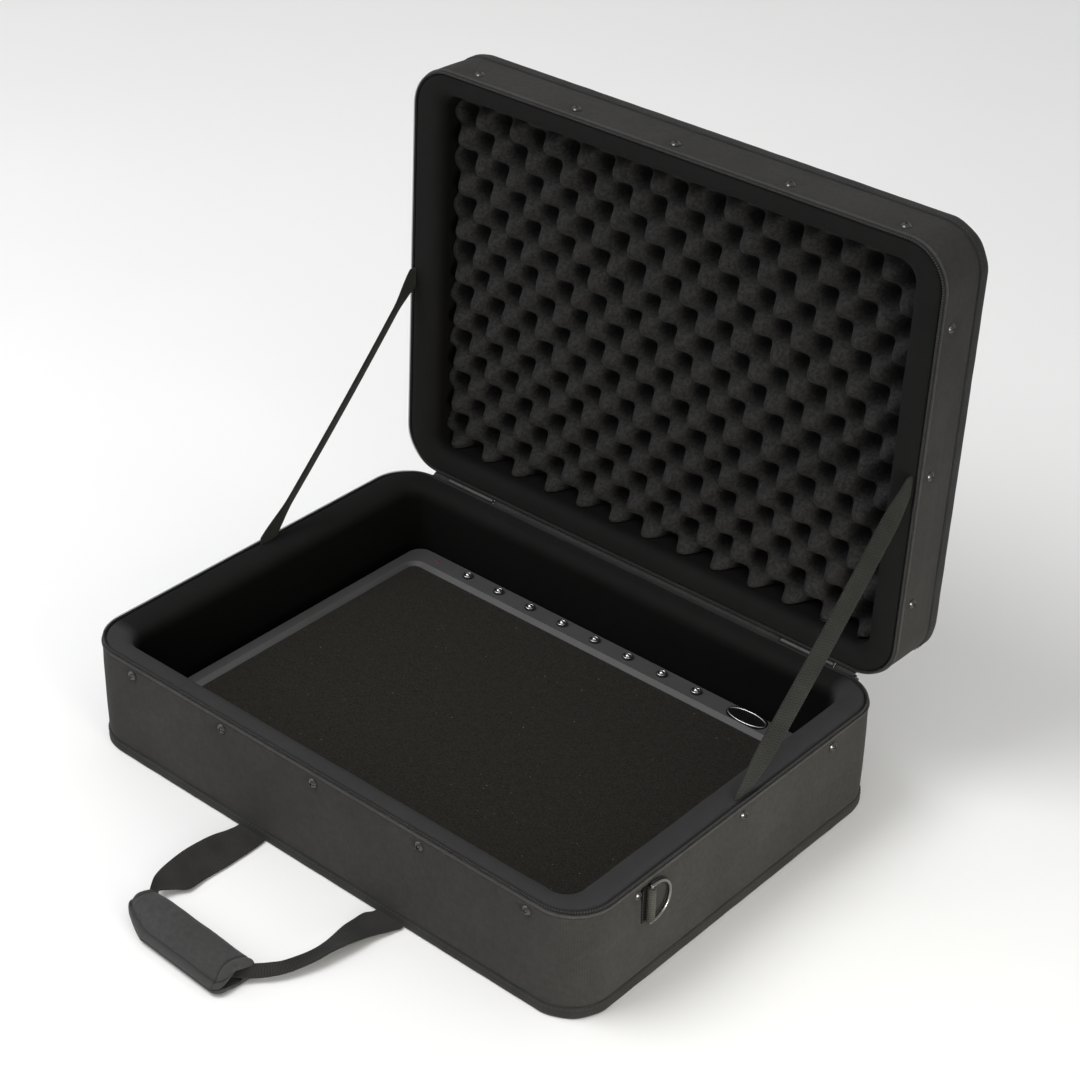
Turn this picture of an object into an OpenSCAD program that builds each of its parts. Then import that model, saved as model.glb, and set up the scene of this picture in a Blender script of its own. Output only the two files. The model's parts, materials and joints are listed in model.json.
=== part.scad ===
// Soft-sided equipment carry case, open, with a powered loop-topped board inside.
// The origin is the middle of the base's underside. +X is the case's right, +Y its hinge side.

/* [Case] */
// Outer width of the case along X
case_w = 560; // [520:5:600]
// Outer depth of the case along Y
case_d = 400; // [380:5:420]
// Height of the base from the floor to its plush rim
base_h = 106; // [96:1:120]
// Height of the lid from its plush rim to its outer face
lid_h = 62; // [56:1:76]
// Radius of the case's upright outer corners
corner_r = 39; // [32:1:44]
// Angle that the lid stands open at
open_angle = 92; // [90:1:96]

/* [Walls] */
// Thickness of the outer fabric
cover_t = 1.6; // [1.2:0.1:2]
// Thickness of the plywood box inside the fabric
core_t = 6; // [5:0.5:7]
// Width of the plush rim on the left and right sides
side_rim = 30; // [26:1:34]
// Width of the plush rim along the front and the back
front_rim = 22; // [20:1:26]
// Thickness of the plush pad on the base's floor
floor_pad_t = 8; // [6:1:10]

/* [Board] */
// Width of the board along X
board_w = 476; // [460:2:480]
// Depth of the board along Y
board_d = 350; // [340:2:350]
// Distance between two neighbouring outlet sockets
jack_pitch = 39; // [34:1:40]
// Number of outlet sockets
jack_count = 8; // [4:1:8]

/* [Webbing] */
// Width of the handle webbing
handle_web_w = 30; // [25:1:32]
// Width of the webbing stays that hold the lid
stay_web_w = 20; // [16:1:22]

/* [Hidden] */
$fn = 64;

// Gap between the two plush rims when the case is shut
rim_gap = 0.6;
// The lid's hinge axis
pivot_y = case_d / 2 + 2;
pivot_z = base_h + 0.3;

// Layers from the outer face inwards
panel_t = 3.2;
binding_t = 1.2;
binding_h = 12;
core_top_drop = 8;
lip_drop = 7.8;
cover_top_drop = 6.1;
core_inset = cover_t;
liner_inset = cover_t + core_t;
lip_inset = 3;
inner_r = 16;
floor_top = panel_t + core_t + floor_pad_t;
inner_w = case_w - 2 * side_rim;
inner_d = case_d - 2 * front_rim;
piping_r = 1.4;
piping_drop = 4.6;
zip_drop = 3.1;
zip_h = 2.3;
zip_t = 2;

// Pan-head screws round the rim: places along each face and distance below the rim
front_screw_x = [-218, -107, 0, 117, 228];
side_screw_y = [-130, 2, 123];
base_screw_drop = 14;
lid_screw_drop = 18;
screw_head_r = 4.4;
screw_head_h = 2.3;
screw_dome_r = 5.4;
cross_len = 4.4;
cross_w = 0.8;
cross_deep = 1;
screw_shank_r = 1.9;
screw_len = 7.4;
hole_play = 0.05;

// D-rings on the two sides
dring_y = -119;
dring_z = 79;
dring_out = 4;
dring_wire_r = 1.5;
dring_leg = 36;
dring_arm = 5;
dring_tab_h = 32;
dring_tab_r = 3.3;

// Butt hinges
hinge_len = 55;
seg = hinge_len / 3;
hinge_mid_x = 195.5;
barrel_r = 2;
hinge_pin_r = 1;
pin_play = 0.05;
leaf_t = 1.2;
leaf_h = 21;
knuckle_play = 0.3;
leaf_notch = 2.6;
leaf_out = 0.9;
leaf_screw_r = 1.4;
leaf_head_r = 2.8;
leaf_head_h = 1.2;
leaf_dome_r = 4;
leaf_screw_drop = 14;
leaf_screw_in = 8;

// Handle on the base: the webbing's route over the floor, as x, y, z, width and roll
web_t = 2;
handle_root_x = 80;
anchor_len = 59;
anchor_t = 1.5;
anchor_z = 0.05;
anchor_play = 0.2;
base_handle_route = [
    [-80, -202.6, 1.3, 1, 0], [-80, -209, 1.3, 1, 0], [-81.5, -222, 1.3, 1, 0],
    [-83.5, -238, 1.4, 1, 0], [-85, -255, 2.2, 1, 4], [-86, -272, 3.6, 0.94, 10],
    [-86.5, -288, 5.6, 0.84, 17], [-86.3, -300, 7.4, 0.72, 21], [-86, -309, 8.8, 0.62, 20],
    [-84.5, -318, 10, 0.56, 12], [-81, -326, 10.4, 0.55, 4], [-75, -331.5, 10.4, 0.56, 0],
    [-66, -333.4, 10.4, 0.6, 0], [-50, -334.2, 10.4, 0.62, 0], [-20, -335.5, 10.4, 0.62, 0],
    [15, -337, 10.4, 0.62, 0], [40, -338, 10.4, 0.62, 0], [50, -338.2, 10.4, 0.6, 0],
    [57, -336.6, 10.4, 0.56, 2], [63, -331.5, 10.3, 0.55, 12], [67.5, -322, 10, 0.55, 26],
    [70.5, -308, 9.5, 0.58, 36], [74, -292, 8.8, 0.62, 39], [77, -276, 7.6, 0.68, 35],
    [79, -258, 5.8, 0.8, 26], [80, -240, 3.6, 0.92, 13], [80.5, -222, 1.8, 1, 3],
    [80, -209, 1.3, 1, 0], [80, -202.6, 1.3, 1, 0]
];

// Padded grip that wraps the webbing
grip_x = -9;
grip_y = -336;
grip_turn = -2.5;
grip_len = 126;
grip_d = 40;
grip_h = 20;
grip_lift = 0.4;
grip_r = 8;
grip_skin = 3;
grip_split = 0.3;
grip_slot_w = 24;
grip_slot_h = 3.2;
grip_pad_clear = 0.4;
grip_pad_short = 3;

// Stays between the two side rims
stay_x = 273.5;
stay_base_y = 4;
stay_lid_y = 3;
stay_t = 1.6;
stay_gap = 0.3;
stay_over = 20;

// Webbing handle on the lid's outer face
lid_handle_x = 80;
lid_handle_reach = 112;
lid_handle_gap = 0.5;
lid_handle_front = 6;
lid_anchor_t = 0.8;
lid_anchor_len = 3.4;
lid_anchor_back = 5;
lid_handle_bend = 45;

// Egg-crate foam
foam_t = 38;
foam_gap = 1;

// Dust strip over the gap between the two hinges
strip_clear = 6;
strip_t = 0.9;
strip_h = 24;
strip_bend_r = 1.2;
strip_w = 2 * (hinge_mid_x - hinge_len / 2 - strip_clear);

// Zip sliders, parked where the chain ends behind each rear corner
slider_w = 8;
slider_t = 4.4;
slider_h = 9;
slider_z = 95.2;
slider_out = 1.2;
pull_pin_r = 0.8;
pull_play = 0.08;
pull_pin_out = 2;
pull_pin_up = 3;
pull_len = 26;
pull_w = 7;
pull_t = 1.4;
pull_neck = 4.4;
pull_hole_r = 1.8;
pull_eye_r = 1.7;
lug_w = 1.4;
lug_r = 1.5;

// Board: heights above the floor
board_feet_h = 2;
board_base = floor_top + board_feet_h;
board_top_z = floor_top + 25;
board_r = 14;
board_bevel = 6;
board_wall = 5;
board_deck_t = 6;
base_plate_t = 2;
pad_drop = 3;
pad_margin_side = 20;
pad_margin_rear = 29;
pad_margin_front = 20;
pad_t = 2.4;
pad_r = 8;
recess_slope = 7;
pad_w = board_w - 2 * pad_margin_side;
pad_d = board_d - pad_margin_rear - pad_margin_front;
pad_y = (pad_margin_front - pad_margin_rear) / 2;
jack_y = board_d / 2 - 12;
jack_first_x = -164;
bezel_r = 5;
bezel_h = 2;
jack_hole_r = 3.6;
jack_depth = 8;
contact_r = 2.4;
led_x = -203;
led_r = 1.4;
badge_x = 165;
badge_w = 41;
badge_d = 18;
badge_t = 0.8;
badge_tab_w = 7.6;
badge_tab_t = 0.6;
badge_tab_play = 0.2;
foot_r = 9;
foot_inset = 30;
inlet_x = -198;
inlet_up = 9;
inlet_r = 5;
inlet_bore_r = 2.8;
inlet_len = 15;
inlet_floor = 3;
laminate_up = 4.6;
laminate_t = 1.6;
laminate_d = 19;
laminate_y = jack_y - 13;
laminate_over = 20;
plate_screw_in_x = 30;
plate_screw_in_y = 45;
plate_screw_r = 1.5;
plate_head_r = 3;
plate_head_h = 1.2;
plate_screw_len = 8;

// ---- Shared shapes ----

// Rectangle with round corners, centred
module rounded_rect(w, d, r) {
    square([w - 2 * r, d], center = true);
    square([w, d - 2 * r], center = true);
    for (sx = [-1, 1], sy = [-1, 1])
        translate([sx * (w / 2 - r), sy * (d / 2 - r)]) circle(r);
}

// Flat slab on a rounded rectangle
module slab(w, d, r, z0, z1) {
    translate([0, 0, z0]) linear_extrude(z1 - z0) rounded_rect(w, d, r);
}

// Ring round the case, its outside set in from the case's face by out
module ring(out, t, z0, z1) {
    difference() {
        slab(case_w - 2 * out, case_d - 2 * out, corner_r - out, z0, z1);
        slab(case_w - 2 * (out + t), case_d - 2 * (out + t), corner_r - out - t, z0 - 1, z1 + 1);
    }
}

// Round cord round the case, its centre set in from the case's face by out
module cord_ring(out, r, z) {
    w = case_w / 2 - out;
    d = case_d / 2 - out;
    cr = corner_r - out;
    for (s = [-1, 1]) {
        translate([0, s * d, z]) rotate([0, 90, 0]) cylinder(h = 2 * (w - cr), r = r, center = true);
        translate([s * w, 0, z]) rotate([90, 0, 0]) cylinder(h = 2 * (d - cr), r = r, center = true);
    }
    for (k = [0:3])
        translate([(k == 0 || k == 3 ? 1 : -1) * (w - cr), (k < 2 ? 1 : -1) * (d - cr), z])
            rotate([0, 0, 90 * k]) rotate_extrude(angle = 90) translate([cr, 0]) circle(r);
}

// Places the children at every rim screw, with +X out of the case's face
module at_screws(z) {
    for (x = front_screw_x) translate([x, -case_d / 2, z]) rotate([0, 0, -90]) children();
    for (y = side_screw_y, s = [0, 1])
        translate([(s == 0 ? 1 : -1) * case_w / 2, y, z]) rotate([0, 0, 180 * s]) children();
}

// Clearance holes for the rim screws
module screw_holes(z) {
    at_screws(z) rotate([0, -90, 0]) translate([0, 0, -2])
        cylinder(h = screw_len + 3, r = screw_shank_r + hole_play);
}

// Rim screws: a low dome on a shank, with a cross recess
module screws(z) {
    at_screws(z) rotate([0, 90, 0]) difference() {
        union() {
            translate([0, 0, -screw_len]) cylinder(h = screw_len + 0.2, r = screw_shank_r);
            intersection() {
                translate([0, 0, screw_head_h - screw_dome_r]) sphere(screw_dome_r);
                cylinder(h = screw_head_h, r = screw_head_r);
            }
        }
        for (a = [0, 90]) rotate([0, 0, a])
            translate([-cross_len / 2, -cross_w / 2, screw_head_h - cross_deep])
                cube([cross_len, cross_w, 2 * cross_deep]);
    }
}

// Lid pieces are drawn like the base, face down, then turned over and opened
module shut_lid() {
    translate([0, 0, base_h + rim_gap + lid_h]) mirror([0, 0, 1]) children();
}

module opened() {
    translate([0, pivot_y, pivot_z]) rotate([-open_angle, 0, 0])
        translate([0, -pivot_y, -pivot_z]) children();
}

// Point of the shut lid, as y and z, after the lid is opened
function open_y(y, z) = pivot_y + (y - pivot_y) * cos(open_angle) + (z - pivot_z) * sin(open_angle);
function open_z(y, z) = pivot_z - (y - pivot_y) * sin(open_angle) + (z - pivot_z) * cos(open_angle);

// Copies the children to both sides of the case
module both_sides() {
    for (s = [0, 1]) mirror([s, 0, 0]) children();
}

// ---- Box shells, drawn for a box of height h standing on its outer face ----

module box_core(h, screw_drop) {
    difference() {
        slab(case_w - 2 * core_inset, case_d - 2 * core_inset, corner_r - core_inset,
            panel_t, h - core_top_drop);
        slab(case_w - 2 * liner_inset, case_d - 2 * liner_inset, corner_r - liner_inset,
            panel_t + core_t, h);
        screw_holes(h - screw_drop);
    }
}

module box_cover(h, screw_drop) {
    difference() {
        ring(0, cover_t, panel_t, h - cover_top_drop);
        screw_holes(h - screw_drop);
    }
}

module box_liner(h) {
    difference() {
        union() {
            slab(case_w - 2 * liner_inset, case_d - 2 * liner_inset, corner_r - liner_inset,
                panel_t + core_t, h);
            slab(case_w - 2 * lip_inset, case_d - 2 * lip_inset, corner_r - lip_inset,
                h - lip_drop, h);
        }
        slab(inner_w, inner_d, inner_r, 0, h + 1);
    }
}

module box_panel() {
    slab(case_w, case_d, corner_r, 0, panel_t);
}

module box_binding() {
    ring(-binding_t, binding_t, 0.2, binding_h);
}

// ---- Base ----

module base_core() {
    color("burlywood") box_core(base_h, base_screw_drop);
}

module base_cover() {
    color([0.13, 0.13, 0.13]) box_cover(base_h, base_screw_drop);
}

module base_bottom_panel() {
    color([0.1, 0.1, 0.1]) difference() {
        box_panel();
        both_sides() translate([handle_root_x - handle_web_w / 2 - anchor_play, -case_d / 2 - 1, -1])
            cube([handle_web_w + 2 * anchor_play, anchor_len + 2, anchor_z + anchor_t + 1.15]);
    }
}

module base_bottom_binding() {
    color([0.08, 0.08, 0.08]) box_binding();
}

module base_liner() {
    color([0.06, 0.06, 0.06]) box_liner(base_h);
}

module base_floor_pad() {
    color([0.05, 0.05, 0.05])
        slab(inner_w, inner_d, inner_r, panel_t + core_t, floor_top);
}

module base_piping() {
    color([0.25, 0.25, 0.25]) cord_ring(0.6, piping_r, base_h - piping_drop);
}

module base_zip_tape() {
    color([0.1, 0.1, 0.1]) ring(1, zip_t, base_h - zip_drop, base_h - zip_drop + zip_h);
}

module base_screws() {
    color([0.2, 0.2, 0.2]) screws(base_h - base_screw_drop);
}

module handle_anchor_webs() {
    color([0.16, 0.16, 0.16]) both_sides()
        translate([handle_root_x - handle_web_w / 2, -case_d / 2, anchor_z])
            cube([handle_web_w, anchor_len, anchor_t]);
}

// ---- D-rings ----

module dring_tab() {
    color([0.13, 0.13, 0.13]) difference() {
        translate([0, dring_y, dring_z - dring_tab_h / 2]) union() {
            translate([case_w / 2 + dring_out, 0, 0]) cylinder(h = dring_tab_h, r = dring_tab_r);
            translate([case_w / 2, -dring_tab_r, 0])
                cube([dring_out, 2 * dring_tab_r, dring_tab_h]);
        }
        translate([case_w / 2 + dring_out, dring_y, 0])
            cylinder(h = 2 * base_h, r = dring_wire_r + 0.1);
    }
}

// A straight leg, two short arms and a half circle, flat against the side
module dring() {
    arc_r = dring_leg / 2;
    color("silver") translate([case_w / 2 + dring_out, dring_y, dring_z]) {
        cylinder(h = dring_leg, r = dring_wire_r, center = true);
        for (s = [-1, 1]) translate([0, 0, s * arc_r]) {
            sphere(dring_wire_r);
            rotate([-90, 0, 0]) cylinder(h = dring_arm, r = dring_wire_r);
        }
        translate([0, dring_arm, 0]) rotate([0, 90, 0])
            rotate_extrude(angle = 180) translate([arc_r, 0]) circle(dring_wire_r);
    }
}

module dring_tab_right() {
    dring_tab();
}

module dring_tab_left() {
    mirror([1, 0, 0]) dring_tab();
}

module dring_right() {
    dring();
}

module dring_left() {
    mirror([1, 0, 0]) dring();
}

// ---- Handle on the base ----

// Flat webbing along a route of x, y, z, share of the width and roll in degrees
function unit(v) = v / norm(v);
function route_side(r, i) = let(
    a = r[max(i - 1, 0)],
    b = r[min(i + 1, len(r) - 1)],
    along = unit([b[0] - a[0], b[1] - a[1], b[2] - a[2]]),
    flat = unit([along[1], -along[0], 0]),
    lift = cross(flat, along)
) flat * cos(r[i][4]) + lift * sin(r[i][4]);
function route_up(r, i) = let(
    a = r[max(i - 1, 0)],
    b = r[min(i + 1, len(r) - 1)],
    along = unit([b[0] - a[0], b[1] - a[1], b[2] - a[2]])
) cross(route_side(r, i), along);

module webbing(route, w, t) {
    n = len(route);
    points = [
        for (i = [0:n - 1])
            for (c = [[-1, -1], [1, -1], [1, 1], [-1, 1]])
                [route[i][0], route[i][1], route[i][2]]
                    + route_side(route, i) * c[0] * w * route[i][3] / 2
                    + route_up(route, i) * c[1] * t / 2
    ];
    sides = [
        for (i = [0:n - 2])
            for (k = [0:3])
                let(a = 4 * i + k, b = 4 * i + (k + 1) % 4)
                    for (f = [[a, b, b + 4], [a, b + 4, a + 4]]) f
    ];
    ends = [[0, 2, 1], [0, 3, 2], [4 * n - 4, 4 * n - 3, 4 * n - 2], [4 * n - 4, 4 * n - 2, 4 * n - 1]];
    polyhedron(points = points, faces = concat(sides, ends), convexity = 8);
}

module base_handle_web() {
    color([0.17, 0.17, 0.17]) webbing(base_handle_route, handle_web_w, web_t);
}

// The grip's own frame: X along it, Z up from the floor
module at_grip() {
    translate([grip_x, grip_y, grip_lift]) rotate([0, 0, grip_turn]) children();
}

module grip_bar(inset, length) {
    translate([-length / 2, 0, grip_h / 2]) rotate([90, 0, 90]) linear_extrude(length)
        rounded_rect(grip_d - 2 * inset, grip_h - 2 * inset, grip_r - inset);
}

// The open sleeve that the grip's two halves make round the padding
module grip_sleeve() {
    difference() {
        grip_bar(0, grip_len);
        grip_bar(grip_skin, 2 * grip_len);
    }
}

module grip_wrap() {
    color([0.2, 0.2, 0.2]) at_grip() difference() {
        grip_sleeve();
        translate([-grip_len, -grip_d, grip_h / 2]) cube([2 * grip_len, 2 * grip_d, grip_h]);
    }
}

module grip_flap() {
    color([0.22, 0.22, 0.22]) at_grip() difference() {
        grip_sleeve();
        translate([-grip_len, -grip_d, grip_split - grip_h / 2])
            cube([2 * grip_len, 2 * grip_d, grip_h]);
    }
}

module grip_padding() {
    color([0.3, 0.3, 0.3]) at_grip() difference() {
        grip_bar(grip_skin + grip_pad_clear, grip_len - 2 * grip_pad_short);
        translate([0, 0, grip_h / 2])
            cube([2 * grip_len, grip_slot_w, grip_slot_h], center = true);
    }
}

// ---- Hinges ----

module hinge_pair() {
    for (s = [-1, 1]) translate([s * hinge_mid_x, 0, 0]) children();
}

module knuckle(x0, x1) {
    translate([x0, pivot_y, pivot_z]) rotate([0, 90, 0]) cylinder(h = x1 - x0, r = barrel_r);
}

module pin_bore(play) {
    translate([-hinge_len, pivot_y, pivot_z]) rotate([0, 90, 0])
        cylinder(h = 2 * hinge_len, r = hinge_pin_r + play);
}

module leaf_screw_places(z) {
    for (s = [-1, 1]) translate([s * (hinge_len / 2 - leaf_screw_in), case_d / 2, z])
        rotate([-90, 0, 0]) children();
}

module leaf_holes(z) {
    leaf_screw_places(z) cylinder(h = 6, r = leaf_screw_r + hole_play);
}

module hinge_base_leaves() {
    color([0.5, 0.5, 0.5]) hinge_pair() difference() {
        union() {
            translate([-hinge_len / 2, case_d / 2 + leaf_out, pivot_z - leaf_h])
                cube([hinge_len, leaf_t, leaf_h - leaf_notch]);
            for (s = [-1, 1]) translate([s * seg - seg / 2, case_d / 2 + leaf_out, pivot_z - leaf_h])
                cube([seg, leaf_t, leaf_h]);
            for (s = [-1, 1]) knuckle(s * seg - seg / 2, s * seg + seg / 2);
        }
        pin_bore(0);
        leaf_holes(pivot_z - leaf_screw_drop);
    }
}

module hinge_lid_leaves() {
    color([0.45, 0.45, 0.45]) opened() hinge_pair() difference() {
        union() {
            translate([-hinge_len / 2, case_d / 2 + leaf_out, pivot_z + leaf_notch])
                cube([hinge_len, leaf_t, leaf_h - leaf_notch]);
            translate([-seg / 2 + knuckle_play, case_d / 2 + leaf_out, pivot_z])
                cube([seg - 2 * knuckle_play, leaf_t, leaf_h]);
            knuckle(-seg / 2 + knuckle_play, seg / 2 - knuckle_play);
        }
        pin_bore(pin_play);
        leaf_holes(pivot_z + leaf_screw_drop);
    }
}

module hinge_pins() {
    color([0.65, 0.65, 0.65]) hinge_pair()
        translate([-hinge_len / 2, pivot_y, pivot_z]) rotate([0, 90, 0])
            cylinder(h = hinge_len, r = hinge_pin_r);
}

module leaf_screws(z) {
    hinge_pair() leaf_screw_places(z) {
        translate([0, 0, leaf_out + leaf_t]) intersection() {
            translate([0, 0, leaf_head_h - leaf_dome_r]) sphere(leaf_dome_r);
            cylinder(h = leaf_head_h, r = leaf_head_r);
        }
        cylinder(h = leaf_out + leaf_t + 0.2, r = leaf_screw_r);
    }
}

module hinge_screws_base() {
    color([0.4, 0.4, 0.4]) leaf_screws(pivot_z - leaf_screw_drop);
}

module hinge_screws_lid() {
    color([0.4, 0.4, 0.4]) opened() leaf_screws(pivot_z + leaf_screw_drop);
}

// Dust strip between the two hinges: one leg on each half, joined along the axis
module fabric_hinge() {
    color([0.1, 0.1, 0.1]) {
        translate([-strip_w / 2, case_d / 2 + 1, pivot_z - strip_h]) cube([strip_w, strip_t, strip_h]);
        translate([-strip_w / 2, pivot_y, pivot_z]) rotate([0, 90, 0])
            cylinder(h = strip_w, r = strip_bend_r);
        opened() translate([-strip_w / 2, case_d / 2 + 1.2, pivot_z])
            cube([strip_w, strip_t, strip_h]);
    }
}

// ---- Stays ----

// Flat strap from the base's side rim to the lid's, cut level with both rims
module stay_strap() {
    y1 = open_y(stay_lid_y, base_h + rim_gap);
    z1 = open_z(stay_lid_y, base_h + rim_gap);
    dy = y1 - stay_base_y;
    dz = z1 - base_h;
    run = norm([dy, dz]);
    color([0.24, 0.24, 0.23]) difference() {
        translate([stay_x, stay_base_y, base_h]) rotate([atan2(dz, dy), 0, 0])
            translate([-stay_t / 2, -stay_over, -stay_web_w / 2])
                cube([stay_t, run + 2 * stay_over, stay_web_w]);
        translate([0, -case_d, -1]) cube([case_w, 3 * case_d, base_h + 1 + stay_gap]);
        opened() translate([0, -case_d, base_h + rim_gap - stay_gap])
            cube([case_w, 2 * case_d, case_d]);
    }
}

module stay_strap_right() {
    stay_strap();
}

module stay_strap_left() {
    mirror([1, 0, 0]) stay_strap();
}

// ---- Lid ----

module lid_core() {
    color("burlywood") opened() shut_lid() box_core(lid_h, lid_screw_drop);
}

module lid_cover() {
    color([0.13, 0.13, 0.13]) opened() shut_lid() box_cover(lid_h, lid_screw_drop);
}

module lid_top_panel() {
    color([0.12, 0.12, 0.12]) opened() shut_lid() box_panel();
}

module lid_top_binding() {
    color([0.08, 0.08, 0.08]) opened() shut_lid() box_binding();
}

module lid_liner() {
    color([0.06, 0.06, 0.06]) opened() shut_lid() box_liner(lid_h);
}

module lid_piping() {
    color([0.25, 0.25, 0.25]) opened() shut_lid() cord_ring(0.6, piping_r, lid_h - piping_drop);
}

module lid_zip_tape() {
    color([0.1, 0.1, 0.1]) opened() shut_lid()
        ring(1, zip_t, lid_h - zip_drop, lid_h - zip_drop + zip_h);
}

module lid_screws() {
    color([0.2, 0.2, 0.2]) opened() shut_lid() screws(lid_h - lid_screw_drop);
}

module lid_foam() {
    color([0.2, 0.2, 0.21]) opened() shut_lid()
        slab(inner_w - 2 * foam_gap, inner_d - 2 * foam_gap, inner_r - foam_gap,
            panel_t + core_t, panel_t + core_t + foam_t);
}

// The sewn roots of the lid's handle, on the lid's outer face
module lid_handle_anchors() {
    lid_anchor_y = -case_d / 2 + lid_handle_front - lid_anchor_back;
    color([0.16, 0.16, 0.16]) opened() shut_lid() both_sides()
        translate([lid_handle_x - handle_web_w / 2, lid_anchor_y, -lid_anchor_t])
            cube([handle_web_w, lid_anchor_len, lid_anchor_t]);
}

// Flat loop of webbing, lying down the lid's outer face
module lid_handle_web() {
    x = lid_handle_x;
    r = lid_handle_bend;
    y0 = -case_d / 2 + lid_handle_front;
    color([0.17, 0.17, 0.17]) opened() shut_lid()
        translate([0, y0, -web_t - lid_handle_gap]) linear_extrude(web_t) {
            for (s = [-1, 1]) translate([s * x - handle_web_w / 2, 0])
                square([handle_web_w, lid_handle_reach - r]);
            for (s = [-1, 1]) translate([s * (x - r + handle_web_w / 2), lid_handle_reach - r])
                intersection() {
                    difference() {
                        circle(r);
                        circle(r - handle_web_w);
                    }
                    translate([s < 0 ? -r : 0, 0]) square([r, r]);
                }
            translate([-x + r - handle_web_w / 2, lid_handle_reach - handle_web_w])
                square([2 * x - 2 * r + handle_web_w, handle_web_w]);
        }
}

// ---- Zip sliders ----

slider_x = case_w / 2 - corner_r;
slider_y = case_d / 2 + slider_out;
pull_pin_y = slider_y + slider_t + pull_pin_out;
pull_pin_z = slider_z + pull_pin_up;

// Everything on a slider's pull pin, with X along the pin
module at_pull_pin() {
    translate([slider_x, pull_pin_y, pull_pin_z]) children();
}

module along_pin(length, r) {
    rotate([0, 90, 0]) cylinder(h = length, r = r, center = true);
}

module zip_slider() {
    color([0.3, 0.3, 0.3]) {
        translate([slider_x - slider_w / 2, slider_y, slider_z]) cube([slider_w, slider_t, slider_h]);
        at_pull_pin() {
            along_pin(slider_w - lug_w, pull_pin_r);
            for (s = [-1, 1]) translate([s * (slider_w - lug_w) / 2, 0, 0]) {
                along_pin(lug_w, lug_r);
                translate([-lug_w / 2, -pull_pin_out, -lug_r]) cube([lug_w, pull_pin_out, 2 * lug_r]);
            }
        }
    }
}

module zip_pull() {
    eye_w = slider_w - 2 * lug_w - 0.6;
    color([0.35, 0.35, 0.35]) at_pull_pin() difference() {
        union() {
            along_pin(eye_w, pull_eye_r);
            translate([-eye_w / 2, -pull_t / 2, -pull_neck - 1]) cube([eye_w, pull_t, pull_neck + 1]);
            translate([-pull_w / 2, -pull_t / 2, -pull_len]) cube([pull_w, pull_t, pull_len - pull_neck]);
        }
        along_pin(slider_w, pull_pin_r + pull_play);
        translate([0, 0, 5 - pull_len]) rotate([90, 0, 0])
            cylinder(h = 6, r = pull_hole_r, center = true);
    }
}

module zip_slider_right() {
    zip_slider();
}

module zip_slider_left() {
    mirror([1, 0, 0]) zip_slider();
}

module zip_pull_right() {
    zip_pull();
}

module zip_pull_left() {
    mirror([1, 0, 0]) zip_pull();
}

// ---- Board ----

module at_jacks() {
    for (k = [0:jack_count - 1]) translate([jack_first_x + k * jack_pitch, jack_y, board_top_z])
        children();
}

module at_corners(w, d) {
    for (sx = [-1, 1], sy = [-1, 1]) translate([sx * (w / 2), sy * (d / 2), 0]) children();
}

module at_plate_screws() {
    at_corners(board_w - 2 * plate_screw_in_x, board_d - 2 * plate_screw_in_y) children();
}

module board_top() {
    color([0.2, 0.21, 0.22]) difference() {
        hull() {
            translate([0, 0, board_base]) linear_extrude(board_top_z - board_base - board_bevel)
                rounded_rect(board_w, board_d, board_r, $fn = 32);
            translate([0, 0, board_top_z - 1]) linear_extrude(1)
                rounded_rect(board_w - board_bevel, board_d - board_bevel, board_r, $fn = 32);
        }
        slab(board_w - 2 * board_wall, board_d - 2 * board_wall, board_r - board_wall,
            board_base - 1, board_top_z - board_deck_t);
        translate([0, pad_y, 0]) hull() {
            translate([0, 0, board_top_z - pad_drop]) linear_extrude(0.1)
                rounded_rect(pad_w, pad_d, pad_r, $fn = 32);
            translate([0, 0, board_top_z]) linear_extrude(1)
                rounded_rect(pad_w + 2 * recess_slope, pad_d + 2 * recess_slope, pad_r + recess_slope,
                    $fn = 32);
        }
        at_jacks() cylinder(h = 30, r = jack_hole_r + hole_play, center = true);
        translate([led_x, jack_y, 0]) cylinder(h = 2 * board_top_z, r = led_r + hole_play);
        translate([badge_x, jack_y, 0]) linear_extrude(2 * board_top_z)
            square([badge_tab_w + 2 * badge_tab_play, badge_tab_t + 2 * badge_tab_play], center = true);
        translate([inlet_x, board_d / 2 - 2 * board_wall, board_base + inlet_up])
            rotate([-90, 0, 0]) cylinder(h = 4 * board_wall, r = inlet_r + hole_play);
    }
}

module board_base_plate() {
    color([0.1, 0.1, 0.1]) difference() {
        slab(board_w - 2 * board_wall - 0.4, board_d - 2 * board_wall - 0.4,
            board_r - board_wall - 0.2, board_base, board_base + base_plate_t);
        at_plate_screws() cylinder(h = 60, r = plate_screw_r + hole_play);
    }
}

module loop_pad() {
    color([0.14, 0.13, 0.12]) translate([0, pad_y, 0])
        slab(pad_w - 0.6, pad_d - 0.6, pad_r - 0.3, board_top_z - pad_drop, board_top_z - pad_drop + pad_t);
}

module jack_bezels() {
    color([0.05, 0.05, 0.05]) at_jacks() difference() {
        union() {
            cylinder(h = bezel_h, r = bezel_r);
            translate([0, 0, -jack_depth]) cylinder(h = jack_depth, r = jack_hole_r);
        }
        translate([0, 0, -jack_depth + 1]) cylinder(h = jack_depth + bezel_h, r = contact_r + hole_play);
    }
}

module jack_contacts() {
    color("silver") at_jacks() union() {
        translate([0, 0, -jack_depth + 1]) cylinder(h = jack_depth + 0.6, r = contact_r);
        translate([0, 0, 1.6]) sphere(contact_r);
    }
}

module status_led() {
    color("red") translate([led_x, jack_y, board_top_z]) {
        translate([0, 0, -board_deck_t]) cylinder(h = board_deck_t, r = led_r);
        sphere(led_r);
    }
}

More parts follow.
